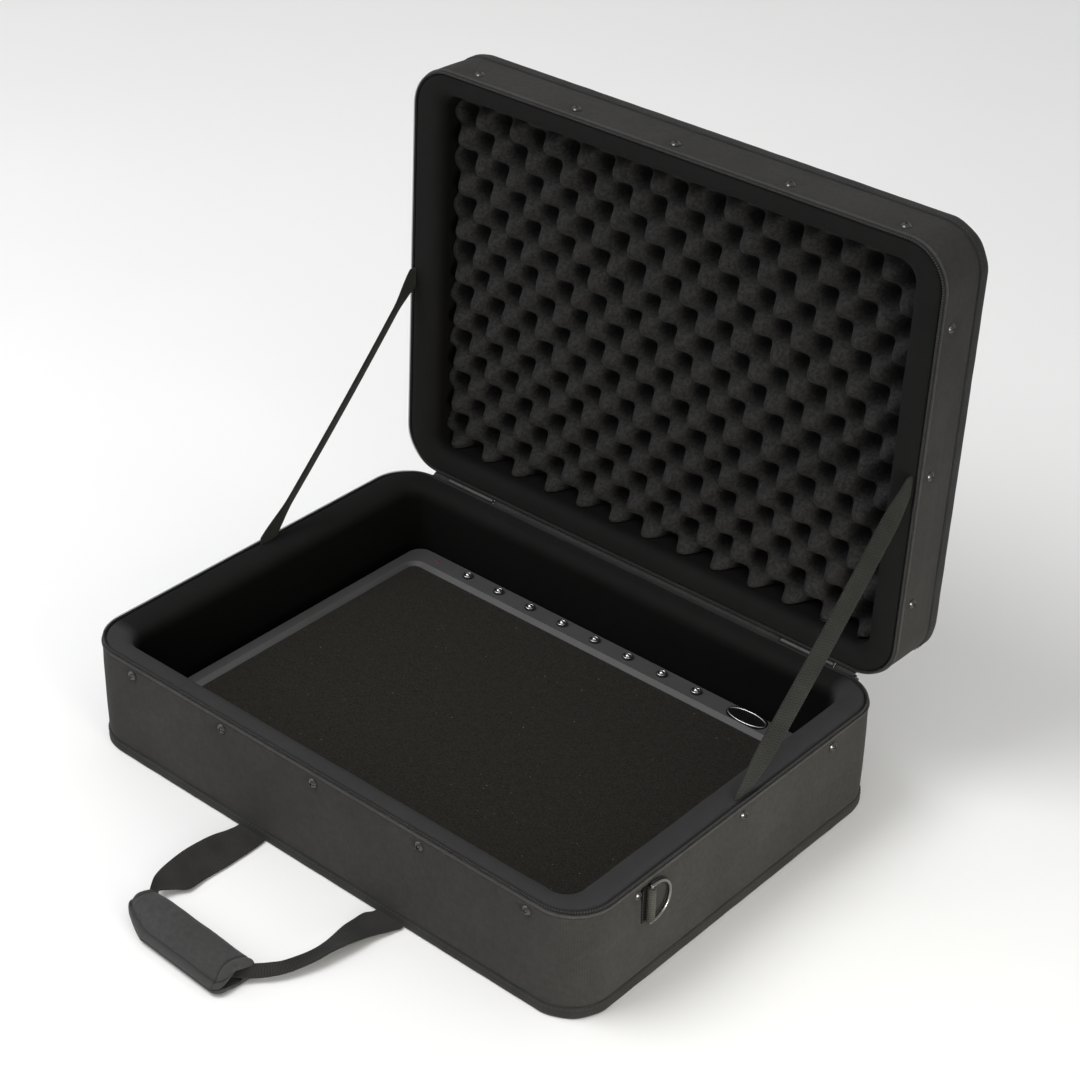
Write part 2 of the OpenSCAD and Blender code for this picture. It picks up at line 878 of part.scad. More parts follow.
module badge_plate() {
    color([0.5, 0.5, 0.5]) translate([badge_x, jack_y, board_top_z]) {
        linear_extrude(badge_t) rounded_rect(badge_w, badge_d, badge_d / 2 - 0.01);
        translate([0, 0, -board_deck_t]) linear_extrude(board_deck_t)
            square([badge_tab_w, badge_tab_t], center = true);
    }
}

module circuit_board() {
    color("darkgreen")
        translate([jack_first_x - laminate_over, laminate_y, board_base + laminate_up])
            cube([jack_pitch * (jack_count - 1) + 2 * laminate_over, laminate_d, laminate_t]);
}

module power_inlet() {
    color([0.05, 0.05, 0.05])
        translate([inlet_x, board_d / 2 - inlet_len, board_base + inlet_up]) rotate([-90, 0, 0])
            difference() {
                cylinder(h = inlet_len, r = inlet_r);
                translate([0, 0, inlet_floor]) cylinder(h = inlet_len, r = inlet_bore_r);
            }
}

module board_feet() {
    color([0.05, 0.05, 0.05]) at_corners(board_w - 2 * foot_inset, board_d - 2 * foot_inset)
        translate([0, 0, floor_top]) cylinder(h = board_feet_h, r = foot_r);
}

module board_screws() {
    color([0.5, 0.5, 0.5]) at_plate_screws() {
        translate([0, 0, board_base - plate_head_h]) cylinder(h = plate_head_h, r = plate_head_r);
        translate([0, 0, board_base]) cylinder(h = plate_screw_len, r = plate_screw_r);
    }
}

base_core();
base_cover();
base_bottom_panel();
base_bottom_binding();
base_liner();
base_floor_pad();
base_piping();
base_zip_tape();
base_screws();
dring_tab_right();
dring_tab_left();
dring_right();
dring_left();
handle_anchor_webs();
base_handle_web();
grip_wrap();
grip_padding();
grip_flap();
hinge_base_leaves();
hinge_pins();
hinge_lid_leaves();
hinge_screws_base();
hinge_screws_lid();
fabric_hinge();
stay_strap_right();
stay_strap_left();
lid_core();
lid_cover();
lid_top_panel();
lid_top_binding();
lid_liner();
lid_piping();
lid_zip_tape();
lid_screws();
lid_foam();
lid_handle_anchors();
lid_handle_web();
zip_slider_right();
zip_slider_left();
zip_pull_right();
zip_pull_left();
board_top();
board_base_plate();
loop_pad();
jack_bezels();
jack_contacts();
status_led();
badge_plate();
circuit_board();
power_inlet();
board_feet();
board_screws();
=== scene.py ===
"""Looks of the padded carry case: soft goods, materials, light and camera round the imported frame."""

import json
from math import atan2, cos, dist, exp, pi, radians, sin, sqrt, tau

import bmesh
import bpy
from mathutils import Matrix, Vector, noise


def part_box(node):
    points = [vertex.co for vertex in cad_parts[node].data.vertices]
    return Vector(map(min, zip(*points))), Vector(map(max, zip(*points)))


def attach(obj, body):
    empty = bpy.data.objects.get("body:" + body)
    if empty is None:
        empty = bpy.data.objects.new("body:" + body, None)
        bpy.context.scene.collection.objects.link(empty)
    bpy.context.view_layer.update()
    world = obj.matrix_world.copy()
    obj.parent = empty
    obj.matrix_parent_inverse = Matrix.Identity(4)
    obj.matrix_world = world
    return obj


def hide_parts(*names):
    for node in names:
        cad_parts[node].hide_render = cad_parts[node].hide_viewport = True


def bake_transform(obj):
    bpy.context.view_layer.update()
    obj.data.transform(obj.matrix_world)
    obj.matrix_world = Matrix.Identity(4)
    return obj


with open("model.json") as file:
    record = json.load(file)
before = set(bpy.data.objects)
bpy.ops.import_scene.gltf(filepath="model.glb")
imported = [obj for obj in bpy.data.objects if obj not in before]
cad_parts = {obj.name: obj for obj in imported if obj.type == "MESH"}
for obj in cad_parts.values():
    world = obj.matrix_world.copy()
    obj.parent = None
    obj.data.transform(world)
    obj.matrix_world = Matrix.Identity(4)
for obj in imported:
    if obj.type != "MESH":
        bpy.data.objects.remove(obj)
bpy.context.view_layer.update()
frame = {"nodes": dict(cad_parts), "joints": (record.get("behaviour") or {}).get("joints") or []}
MM = 0.001
UV_NAME = "Weave"
IDENTITY = Matrix.Identity(4)
UP = Vector((0, 0, 1))

# ---- Driving sizes, read from the frame ----

HALF_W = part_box("base_cover")[1].x
HALF_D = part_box("base_cover")[1].y
BASE_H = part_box("base_liner")[1].z
PANEL_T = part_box("base_bottom_panel")[1].z
FLOOR_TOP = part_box("base_floor_pad")[1].z
SHELF_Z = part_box("base_liner")[0].z
SIDE_RIM = HALF_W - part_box("base_floor_pad")[1].x
FRONT_RIM = HALF_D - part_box("base_floor_pad")[1].y
HINGE = next(j for j in frame["joints"] if j["name"] == "lid_hinge")
PIVOT = Vector(HINGE["pos_m"])
OPEN = radians(-HINGE["range_deg"][0])
LID_H = 62 * MM
RIM_GAP = 0.6 * MM
CORNER_R = 39 * MM
INNER_R = 16 * MM
LIP_INSET = 3 * MM
BINDING_H = 12 * MM

# The lid is drawn like the base, outer face down; this turns it over and opens it
OPENED = Matrix.Translation(PIVOT) @ Matrix.Rotation(-OPEN, 4, "X") @ Matrix.Translation(-PIVOT)
LID = OPENED @ Matrix.Translation((0, 0, BASE_H + RIM_GAP + LID_H)) @ Matrix.Scale(-1, 4, (0, 0, 1))

# ---- Camera ----

CAMERA_AZIMUTH = radians(40.386)
CAMERA_ELEVATION = radians(32.358)
CAMERA_ROLL = radians(1.365)
CAMERA_DISTANCE = 1.99407
CAMERA_TARGET = Vector((0.061577, 0.001549, 0.255692))
CAMERA_LENS = 82.665
CAMERA_SENSOR = 36


def make_camera():
    data = bpy.data.cameras.new("view")
    data.lens = CAMERA_LENS
    data.sensor_width = CAMERA_SENSOR
    camera = bpy.data.objects.new("view", data)
    bpy.context.scene.collection.objects.link(camera)
    az, el = CAMERA_AZIMUTH, CAMERA_ELEVATION
    back = Vector((sin(az) * cos(el), -cos(az) * cos(el), sin(el)))
    camera.location = CAMERA_TARGET + back * CAMERA_DISTANCE
    camera.rotation_mode = "QUATERNION"
    turn = (-back).to_track_quat("-Z", "Y")
    camera.rotation_quaternion = turn @ Matrix.Rotation(CAMERA_ROLL, 4, "Z").to_quaternion()
    bpy.context.scene.camera = camera


# ---- Mesh helpers ----


def finish_mesh(name, verts, faces, uvs, material, matrix=IDENTITY):
    """A closed mesh object with smooth faces, outward normals and a UV map in metres."""
    mesh = bpy.data.meshes.new(name)
    mesh.from_pydata([tuple(v) for v in verts], [], faces)
    layer = mesh.uv_layers.new(name=UV_NAME)
    layer.data.foreach_set("uv", [x for uv in uvs for x in uv])
    mesh.transform(matrix)
    bm = bmesh.new()
    bm.from_mesh(mesh)
    bmesh.ops.recalc_face_normals(bm, faces=bm.faces)
    bm.to_mesh(mesh)
    bm.free()
    mesh.polygons.foreach_set("use_smooth", [True] * len(mesh.polygons))
    mesh.materials.append(material)
    piece = bpy.data.objects.new(name, mesh)
    bpy.context.scene.collection.objects.link(piece)
    return piece


def loft_data(rings, wrap=False, planar=False):
    """Verts, faces and UVs of a skin over closed rings; wrap joins the last ring to the first."""
    count = len(rings[0])
    verts = [p for ring in rings for p in ring]
    middle = rings[len(rings) // 2]
    around, along = [0.0], [0.0]
    for a, b in zip(middle, middle[1:] + middle[:1]):
        around.append(around[-1] + (b - a).length)
    for a, b in zip(rings, rings[1:] + rings[:1]):
        along.append(along[-1] + (b[0] - a[0]).length)
    faces, uvs = [], []
    for k in range(len(rings) if wrap else len(rings) - 1):
        near, far = k * count, ((k + 1) % len(rings)) * count
        for i in range(count):
            j = (i + 1) % count
            quad = (near + i, near + j, far + j, far + i)
            faces.append(quad)
            if planar:
                uvs += [(verts[q].x, verts[q].y) for q in quad]
            else:
                uvs += [(around[i + a], along[k + b]) for a, b in ((0, 0), (1, 0), (1, 1), (0, 1))]
    if not wrap:
        for start in (0, (len(rings) - 1) * count):
            cap = tuple(range(start, start + count))
            faces.append(cap)
            uvs += [(verts[q].x, verts[q].y) for q in cap]
    return verts, faces, uvs


def loft(name, rings, material, matrix=IDENTITY, wrap=False, planar=False):
    return finish_mesh(name, *loft_data(rings, wrap, planar), material, matrix)


def several(name, parts, material, matrix=IDENTITY):
    """One object out of several sets of verts, faces and UVs."""
    verts, faces, uvs = [], [], []
    for v, f, uv in parts:
        shift = len(verts)
        verts += v
        faces += [tuple(i + shift for i in face) for face in f]
        uvs += uv
    return finish_mesh(name, verts, faces, uvs, material, matrix)


def dress(piece, body, slot, *nodes):
    """Gives a piece its body and hides the CAD nodes that it stands for; the slot argument is not used."""
    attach(piece, body)
    if nodes:
        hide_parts(*nodes)


def face_of(node, inset):
    """Middle of a node's upper face, and its half sizes less an inset."""
    low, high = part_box(node)
    half = (high - low) / 2
    return Vector((low.x + half.x, low.y + half.y, high.z)), half.x - inset, half.y - inset


def smoothstep(a, b, x):
    t = min(1.0, max(0.0, (x - a) / (b - a)))
    return t * t * (3 - 2 * t)


def turns(count):
    """Angles that share out one turn."""
    return [tau * i / count for i in range(count)]


def bell(x, width):
    return exp(-(x / width) ** 2)


def wavy(p, size, amount):
    """Smooth random height at a point, with lumps of about that size."""
    return noise.noise(p / size) * amount


SIDE_X_STEPS = 140
SIDE_Y_STEPS = 92
CORNER_STEPS = 16


def rounded_ring(inset_x, inset_y, r, z):
    """Rounded rectangle inside the case's outline, with the same number of points at any size."""
    r = max(r, 0.05 * MM)
    w, d = HALF_W - inset_x - r, HALF_D - inset_y - r
    corners = [(w, d, 0), (-w, d, 90), (-w, -d, 180), (w, -d, 270)]
    points = []
    for k, (cx, cy, start) in enumerate(corners):
        for i in range(CORNER_STEPS + 1):
            a = radians(start + 90 * i / CORNER_STEPS)
            points.append(Vector((cx + r * cos(a), cy + r * sin(a), z)))
        nx, ny, after = corners[(k + 1) % 4]
        a = radians(after)
        begin, goal = points[-1].copy(), Vector((nx + r * cos(a), ny + r * sin(a), z))
        steps = SIDE_Y_STEPS if k % 2 else SIDE_X_STEPS
        points += [begin.lerp(goal, i / steps) for i in range(1, steps)]
    return points


def ring_at(inset, z):
    """Ring parallel to the case's outline, inset by the same amount all round."""
    return rounded_ring(inset, inset, CORNER_R - inset, z)


def outward(ring):
    """Unit normals of a flat ring, pointing out of it."""
    tangents = [after - before for before, after in zip(ring[-1:] + ring[:-1], ring[1:] + ring[:1])]
    return [Vector((t.y, -t.x, 0)).normalized() for t in tangents]


def pushed(ring, depth):
    """Ring with each point moved out of it by depth(point)."""
    return [p + n * depth(p) for p, n in zip(ring, outward(ring))]


def walk(points, step, closed=False):
    """Points a step apart along a polyline, each with its direction."""
    line = points + [points[0]] if closed else points
    found, carry = [], 0.0
    for a, b in zip(line, line[1:]):
        length = (b - a).length
        while carry <= length and length > 0:
            found.append((a.lerp(b, carry / length), (b - a) / length))
            carry += step
        carry -= length
    return found


STITCH_PITCH = 4.0 * MM
STITCH_LEN = 2.9 * MM
THREAD_R = 0.32 * MM
# Along a stitch: share of its length, and share of the thread's radius
STITCH_SHAPE = [(-0.5, 0.2), (-0.42, 0.75), (0, 1), (0.42, 0.75), (0.5, 0.2)]


def stitch_data(points, up, closed=False, pitch=STITCH_PITCH):
    """Short threads laid end to end along a line, standing on the surface whose normal is up(p)."""
    parts = []
    for p, t in walk(points, pitch, closed):
        n = up(p)
        side = t.cross(n).normalized()
        rings = []
        for s, k in STITCH_SHAPE:
            centre = p + t * (s * STITCH_LEN * pitch / STITCH_PITCH) + n * (THREAD_R * (0.9 * k - 0.35))
            rings.append([centre + (side * cos(a) + n * sin(a)) * THREAD_R * k for a in turns(6)])
        parts.append(loft_data(rings))
    return parts


def oval_wire(centre, half_w, half_d, out_r, up_r, steps):
    """Verts, faces and UVs of a wire bent to an oval that lies flat."""
    rings = []
    for a in turns(steps):
        p = centre + Vector((half_w * cos(a), half_d * sin(a), 0))
        out = Vector((cos(a) / half_w, sin(a) / half_d, 0)).normalized()
        rings.append([p + out * (out_r * cos(b)) + UP * (up_r * sin(b)) for b in turns(8)])
    return loft_data(rings, wrap=True)


def sheet_pad(name, edge, r, low, high, shoulder, insets, bump, material, middle=Vector()):
    """Flat pad in a recess: soft edge, then rings inwards over its face, whose heights bump(p) moves."""
    rings = [rounded_ring(*edge, r(0), low)]
    for inset, drop in shoulder:
        rings.append(rounded_ring(edge[0] + inset * MM, edge[1] + inset * MM, r(0), high[0] - drop * MM))
    for inset in insets:
        ring = rounded_ring(edge[0] + inset, edge[1] + inset, r(inset), high[1])
        rings.append([p + UP * bump(p) for p in ring])
    rings.append([Vector((p.x, p.y * 0.02, high[1])) for p in rings[-1]])
    return loft(name, [[p + middle for p in ring] for ring in rings], material, planar=True)


FOAM_PITCH_X = 39.3 * MM
FOAM_PITCH_Y = 44.4 * MM
FOAM_PIT = 10 * MM
FOAM_PEAK = 38.5 * MM
FOAM_STEP = 2.4 * MM

# ---- Material helpers ----

SHEEN_ROUGHNESS = 0.45


class Nodes:
    """Small helper that adds and links shader nodes."""

    def __init__(self, name):
        self.material = bpy.data.materials.new(name)
        self.material.use_nodes = True
        self.tree = self.material.node_tree
        self.shader = self.tree.nodes["Principled BSDF"]

    def add(self, kind, inputs=None, **settings):
        node = self.tree.nodes.new(kind)
        for key, value in settings.items():
            setattr(node, key, value)
        for key, value in (inputs or {}).items():
            self.plug(node.inputs[key], value)
        return node

    def plug(self, socket, value):
        """Links a socket, or sets its value; a colour gets its alpha here."""
        if isinstance(value, bpy.types.NodeSocket):
            self.tree.links.new(value, socket)
        else:
            socket.default_value = (*value, 1) if socket.type == "RGBA" else value

    def math(self, operation, a, b=0.0, c=0.0):
        return self.add("ShaderNodeMath", {0: a, 1: b, 2: c}, operation=operation).outputs[0]

    def uv(self):
        return self.split(self.add("ShaderNodeUVMap", uv_map=UV_NAME).outputs[0])[:2]

    def split(self, vector):
        return list(self.add("ShaderNodeSeparateXYZ", {0: vector}).outputs)

    def position(self):
        return self.add("ShaderNodeTexCoord").outputs["Object"]

    def noise(self, size, detail=2.0, roughness=0.5, vector=None):
        node = self.add("ShaderNodeTexNoise", {"Scale": 1 / size, "Detail": detail, "Roughness": roughness,
                                               "Vector": vector or self.position()})
        return node.outputs["Fac"]

    def cells(self, size):
        node = self.add("ShaderNodeTexVoronoi", {"Scale": 1 / size, "Vector": self.position()})
        return node.outputs["Distance"]

    def wave(self, coordinate, pitch, shift=0.0):
        """0 to 1 sine of a coordinate in metres."""
        turns = self.math("MULTIPLY_ADD", coordinate, tau / pitch, shift)
        return self.math("MULTIPLY_ADD", self.math("SINE", turns), 0.5, 0.5)

    def ramp(self, value, stops):
        node = self.add("ShaderNodeValToRGB", {0: value})
        elements = node.color_ramp.elements
        while len(elements) < len(stops):
            elements.new(0.5)
        for element, (place, colour) in zip(elements, stops):
            element.position = place
            element.color = (*colour, 1)
        return node.outputs[0]

    def mix(self, factor, a, b, blend="MIX"):
        node = self.add("ShaderNodeMix", {0: factor, 6: a, 7: b}, data_type="RGBA", blend_type=blend)
        return node.outputs[2]

    def tint(self, a, b):
        return self.mix(1.0, a, b, "MULTIPLY")

    def weigh(self, a, share_a, b, share_b):
        return self.math("MULTIPLY_ADD", a, share_a, self.math("MULTIPLY", b, share_b))

    def patches(self, size, low, high, roughness=0.5):
        """Grey to tint with, wandering between two values in lumps of about that size."""
        return self.ramp(self.noise(size, 3, roughness), [(0.3, grey(low)), (0.7, grey(high))])

    def stretched(self, scale):
        return self.add("ShaderNodeMapping", {"Scale": scale, "Vector": self.position()}).outputs[0]

    def bump(self, height, distance, strength):
        inputs = {"Height": height, "Distance": distance, "Strength": strength}
        return self.add("ShaderNodeBump", inputs).outputs[0]

    def surface(self, colour, roughness, normal=None, metallic=0.0, sheen=0.0, specular=0.5):
        values = {"Base Color": colour, "Roughness": roughness, "Metallic": metallic, "Sheen Weight": sheen,
                  "Sheen Roughness": SHEEN_ROUGHNESS, "Specular IOR Level": specular}
        if normal:
            values["Normal"] = normal
        for key, value in values.items():
            self.plug(self.shader.inputs[key], value)
        return self.material


def grey(value, warm=0.0):
    return (value * (1 + warm), value, value * (1 - warm))


def shades(base, low=0.75, high=1.25):
    return [tuple(c * low for c in base), tuple(c * high for c in base)]


def woven(name, base, pitch=1.1 * MM, relief=0.12 * MM, sheen=0.02, roughness=0.9, seams=None):
    """Plain weave: yarns crossing, fibre noise, dusty patches and, at the seams, painted shade along the seam
    groove and a painted highlight on the hem.
    """
    n = Nodes(name)
    u, v = n.uv()
    fibre = n.noise(0.5 * MM, 2)
    warp = n.math("MULTIPLY", n.wave(u, pitch), n.wave(v, pitch * 2))
    weft = n.math("MULTIPLY", n.wave(u, pitch * 2, pi), n.wave(v, pitch, pi))
    weave = n.math("MAXIMUM", warp, weft)
    height = n.math("MULTIPLY_ADD", fibre, 0.35, weave)
    dark, light = shades(base, 0.84, 1.14)
    cloth = n.mix(n.weigh(fibre, 0.5, weave, 0.5), dark, light)
    colour = n.tint(n.tint(cloth, n.patches(55 * MM, 0.88, 1.12)), n.patches(4.5 * MM, 0.86, 1.14, 0.6))
    # At the seams: painted shade down the seam groove, and a painted highlight on the rolled hem beyond it
    if seams:
        line, hem_highlight = 0.0, 0.0
        for coordinate, place, beyond in ((u, seams[0], "GREATER_THAN"), (v, seams[1], "LESS_THAN"),
                                          (v, seams[2], "GREATER_THAN")):
            away = n.math("ABSOLUTE", n.math("SUBTRACT", coordinate, place))
            near = n.math("MULTIPLY_ADD", away, -1 / SEAM_HALF, 1.0)
            line = n.math("MAXIMUM", line, near)
            hem_highlight = n.math("MAXIMUM", hem_highlight, n.math(beyond, coordinate, place))
        # Painted highlight: the hem beyond the seam is painted lighter
        colour = n.mix(n.math("MULTIPLY", hem_highlight, 0.5), colour, tuple(c * 1.2 for c in base))
        # Painted shade: a dark line painted along the seam groove
        colour = n.mix(n.math("MULTIPLY", line, 0.75), colour, tuple(c * 0.3 for c in base))
    return n.surface(colour, roughness, n.bump(height, relief, 0.8), sheen=sheen, specular=0.2)


def ribbed(name, base, pitch, relief=0.35 * MM, sheen=0.06, column=None):
    """Narrow webbing: ribs across it, staggered in columns if asked, and a twill of yarns on the ribs."""
    n = Nodes(name)
    u, v = n.uv()
    stagger = 0.0
    if column:
        stagger = n.math("MULTIPLY", n.math("GREATER_THAN", n.wave(u, 2 * column), 0.5), pi)
    rib = n.wave(v, pitch, stagger)
    yarn = n.wave(n.math("ADD", u, n.math("MULTIPLY", v, 0.6)), 1.3 * MM)
    height = n.math("MULTIPLY_ADD", yarn, 0.25, n.math("POWER", rib, 0.7))
    dark, light = shades(base, 0.55, 1.25)
    cloth = n.mix(n.weigh(yarn, 0.25, rib, 0.75), dark, light)
    colour = n.tint(cloth, n.patches(24 * MM, 0.76, 1.22))
    return n.surface(colour, 0.85, n.bump(height, relief, 0.9), sheen=sheen, specular=0.2)


# Painted sheen on the base's near rims starts beyond these distances from the middle of the case
SHEEN_FRONT = 162 * MM
SHEEN_RIGHT = 236 * MM
SHEEN_FADE = 12 * MM


def plush(name, base, sheen=0.25, walls=False):
    """Short pile, brush-finished: fine nap, broad strokes, and on the lining painted shade down its inner
    walls and a painted sheen on the base's near rims.
    """
    n = Nodes(name)
    nap = n.noise(0.9 * MM, 3, 0.7)
    strokes = n.noise(28 * MM, 4, 0.6)
    dark, light = shades(base, 0.7, 1.35)
    colour = n.mix(n.weigh(nap, 0.5, strokes, 0.5), dark, light)
    if walls:
        _, down = n.uv()
        # Painted shade: the lining darkens from its rim down its inner walls
        shade = n.ramp(n.math("MULTIPLY", down, 10), [(0.34, grey(1.0)), (0.44, grey(0.36))])
        x, y, z = n.split(n.position())
        # Painted sheen: the base lining's near front and right rims are painted about 3.5 times lighter
        front = n.math("MULTIPLY_ADD", y, -1 / SHEEN_FADE, -SHEEN_FRONT / SHEEN_FADE)
        right = n.math("MULTIPLY_ADD", x, 1 / SHEEN_FADE, -SHEEN_RIGHT / SHEEN_FADE)
        near = n.math("MINIMUM", n.math("MAXIMUM", n.math("MAXIMUM", front, right), 0.0), 1.0)
        on_base = n.math("LESS_THAN", z, BASE_H + 1 * MM)
        near_rim_sheen = n.mix(n.math("MULTIPLY", near, on_base), grey(1.0), (3.5, 3.5, 3.62))
        colour = n.tint(n.tint(colour, shade), near_rim_sheen)
    height = n.math("MULTIPLY_ADD", strokes, 0.6, nap)
    return n.surface(colour, 0.98, n.bump(height, 0.5 * MM, 0.7), sheen=sheen, specular=0.03)


def open_foam(name, base, pits=False):
    """Open-cell foam: small pores over mottled charcoal, with painted shade darkening it down in the pits."""
    n = Nodes(name)
    pores = n.cells(1.3 * MM)
    grain = n.noise(3.2 * MM, 3, 0.6)
    dark, light = shades(base, 0.48, 1.4)
    speckle = n.ramp(grain, [(0.38, grey(0.0)), (0.62, grey(1.0))])
    colour = n.mix(n.weigh(pores, 0.55, speckle, 0.5), dark, light)
    if pits:
        # Painted shade: darker towards the bottom of each pit of the egg-crate pattern
        u, v = n.uv()
        across = n.math("COSINE", n.math("MULTIPLY", u, tau / FOAM_PITCH_X))
        along = n.math("COSINE", n.math("MULTIPLY", v, tau / FOAM_PITCH_Y))
        depth = n.math("MULTIPLY_ADD", n.math("MULTIPLY", across, along), 0.5, 0.5)
        shade = n.ramp(depth, [(0.0, grey(0.2)), (0.3, grey(0.45)), (0.62, grey(0.95))])
        colour = n.tint(colour, shade)
    return n.surface(colour, 1.0, n.bump(pores, 0.45 * MM, 0.6), sheen=0.02, specular=0.04)


def loop_pile(name, base):
    """Brushed nylon loops: tangled fine pile, mottled, with a few pale lint specks."""
    n = Nodes(name)
    tangle = n.noise(1.9 * MM, 4, 0.75)
    clumps = n.noise(7 * MM, 3, 0.6)
    dark, light = shades(base, 0.3, 1.75)
    tuft = n.ramp(tangle, [(0.36, grey(0.0)), (0.64, grey(1.0))])
    pile = n.mix(n.weigh(tuft, 0.6, clumps, 0.4), dark, light)
    lint = n.math("GREATER_THAN", n.noise(2.1 * MM, 0, 0.5), 0.865)
    colour = n.mix(lint, pile, (0.16, 0.15, 0.14))
    return n.surface(colour, 1.0, n.bump(tangle, 0.6 * MM, 0.9), sheen=0.06, specular=0.06)


def moulded(name, base, grain=0.5 * MM, roughness=0.5, relief=0.05 * MM, specular=0.45):
    """Moulded plastic or rubber: fine spark grain and rubbed patches."""
    n = Nodes(name)
    spark = n.noise(grain, 2, 0.6)
    wear = n.noise(35 * MM, 4, 0.6)
    dark, light = shades(base, 0.88, 1.12)
    colour = n.mix(wear, dark, light)
    rough = n.math("MULTIPLY_ADD", wear, 0.16, roughness - 0.08)
    return n.surface(colour, rough, n.bump(spark, relief, 0.6), specular=specular)


def metal(name, base, roughness=0.35, scratches=0.2):
    """Plated steel: fine scratches, stained patches and a duller tone where it is handled."""
    n = Nodes(name)
    fine = n.noise(1.5 * MM, 4, 0.7, n.stretched((1, 8, 3)))
    stain = n.noise(6 * MM, 3, 0.6)
    dark, light = shades(base, 0.75, 1.12)
    colour = n.mix(stain, dark, light)
    rough = n.math("MULTIPLY_ADD", fine, scratches, roughness - scratches / 2)
    return n.surface(colour, rough, n.bump(fine, 0.05 * MM, 0.4), metallic=1.0)


def plywood(name):
    """Raw ply edge and face: long grain streaks."""
    n = Nodes(name)
    grain = n.noise(4 * MM, 5, 0.6, n.stretched((0.12, 1, 1)))
    colour = n.ramp(grain, [(0.25, (0.36, 0.24, 0.13)), (0.75, (0.6, 0.45, 0.28))])
    return n.surface(colour, 0.7, n.bump(grain, 0.15 * MM, 0.5))


FABRIC = woven("case_fabric", grey(0.0265, 0.04), relief=0.16 * MM)
PANEL = woven("panel_fabric", grey(0.027), pitch=1.3 * MM, relief=0.18 * MM)
BINDING = ribbed("binding_tape", grey(0.018), 1.6 * MM, 0.15 * MM)
PIPING = woven("piping_fabric", grey(0.045, 0.03), pitch=0.9 * MM)
ZIP_TAPE = ribbed("zip_tape", grey(0.012), 1.2 * MM, 0.12 * MM)
ZIP_TEETH = moulded("zip_teeth", grey(0.02), roughness=0.4)
WEBBING = ribbed("handle_webbing", grey(0.0245, 0.03), 2.4 * MM, 0.3 * MM)
LOOP_WEB = ribbed("loop_webbing", (0.045, 0.045, 0.04), 2.2 * MM, 0.3 * MM)
STAY = ribbed("stay_webbing", (0.0165, 0.0168, 0.0151), 2.3 * MM, 0.4 * MM, column=4.4 * MM)
THREAD = moulded("thread", grey(0.024), roughness=0.6)
PLUSH = plush("rim_plush", grey(0.0095), sheen=0.02, walls=True)
# Near-black floor plush; also used for the painted shadow sheet beside each D-ring loop
FLOOR_PLUSH_AND_SHADOW = plush("floor_plush", grey(0.006), sheen=0.02)
FOAM = open_foam("egg_crate_foam", grey(0.0225, 0.01), pits=True)
GRIP_FOAM = open_foam("grip_foam", grey(0.03))
LOOP = loop_pile("loop_pile", (0.0166, 0.0156, 0.013))
BOARD = moulded("board_plastic", grey(0.06), roughness=0.36, specular=0.6)
SOCKET = moulded("socket_plastic", grey(0.022), roughness=0.4, relief=0.02 * MM)
FOOT = moulded("foot_rubber", grey(0.02), roughness=0.8)
LAMINATE = moulded("laminate", (0.02, 0.11, 0.05), roughness=0.4)
LAMP = moulded("lamp_red", (0.16, 0.02, 0.03), roughness=0.35, relief=0.01 * MM)
CHROME = metal("socket_chrome", grey(0.62), 0.27, 0.06)
SCREW = metal("black_screw", grey(0.09), 0.24, 0.1)
RING = metal("ring_steel", (0.2, 0.2, 0.19), 0.24)
HINGE_STEEL = metal("hinge_steel", grey(0.1), 0.68)
ZIP_METAL = metal("zip_metal", grey(0.06), 0.4)
BADGE_PLATE = metal("badge_plate", grey(0.05), 0.45)
BADGE_RIM = metal("badge_rim", grey(0.6), 0.3)
WOOD = plywood("plywood")

CAD_LOOKS = [
    (WOOD, "base_core", "lid_core"),
    (SCREW, "base_screws", "lid_screws"),
    (RING, "dring_right", "dring_left"),
    (HINGE_STEEL, "hinge_base_leaves", "hinge_lid_leaves", "hinge_pins", "hinge_screws_base",
     "hinge_screws_lid", "board_screws"),
    (ZIP_METAL, "zip_slider_right", "zip_slider_left", "zip_pull_right", "zip_pull_left"),
    (BOARD, "board_top", "board_base_plate"),
    (SOCKET, "jack_bezels", "power_inlet"),
    (CHROME, "jack_contacts"), (LAMP, "status_led"), (BADGE_PLATE, "badge_plate"),
    (LAMINATE, "circuit_board"), (FOOT, "board_feet"),
]
BEVELS = [
    (1.0 * MM, "board_top"), (0.8 * MM, "zip_slider_right", "zip_slider_left"),
    (0.5 * MM, "zip_pull_right", "zip_pull_left"), (0.35 * MM, "jack_bezels"),
    (0.25 * MM, "hinge_base_leaves", "hinge_lid_leaves", "badge_plate"),
]
BEVEL_ANGLE = radians(28)


def dress_cad_nodes():
    for material, *names in CAD_LOOKS:
        for name in names:
            materials = frame["nodes"][name].data.materials
            materials.clear()
            materials.append(material)
    for width, *names in BEVELS:
        for name in names:
            bevel = frame["nodes"][name].modifiers.new("edge", "BEVEL")
            bevel.width = width
            bevel.segments = 3
            bevel.limit_method = "ANGLE"
            bevel.angle_limit = BEVEL_ANGLE
            bevel.harden_normals = False


# ---- Box shells, drawn for a box of height h standing on its outer face ----

SCREW_X = [-218 * MM, -107 * MM, 0, 117 * MM, 228 * MM]
SCREW_Y = [-130 * MM, 2 * MM, 123 * MM]
COVER_DROP = 6.1 * MM
COVER_T = 1.5 * MM


def screw_places(z):
    places = [Vector((x, -HALF_D, z)) for x in SCREW_X]
    return places + [Vector((s * HALF_W, y, z)) for s in (-1, 1) for y in SCREW_Y]


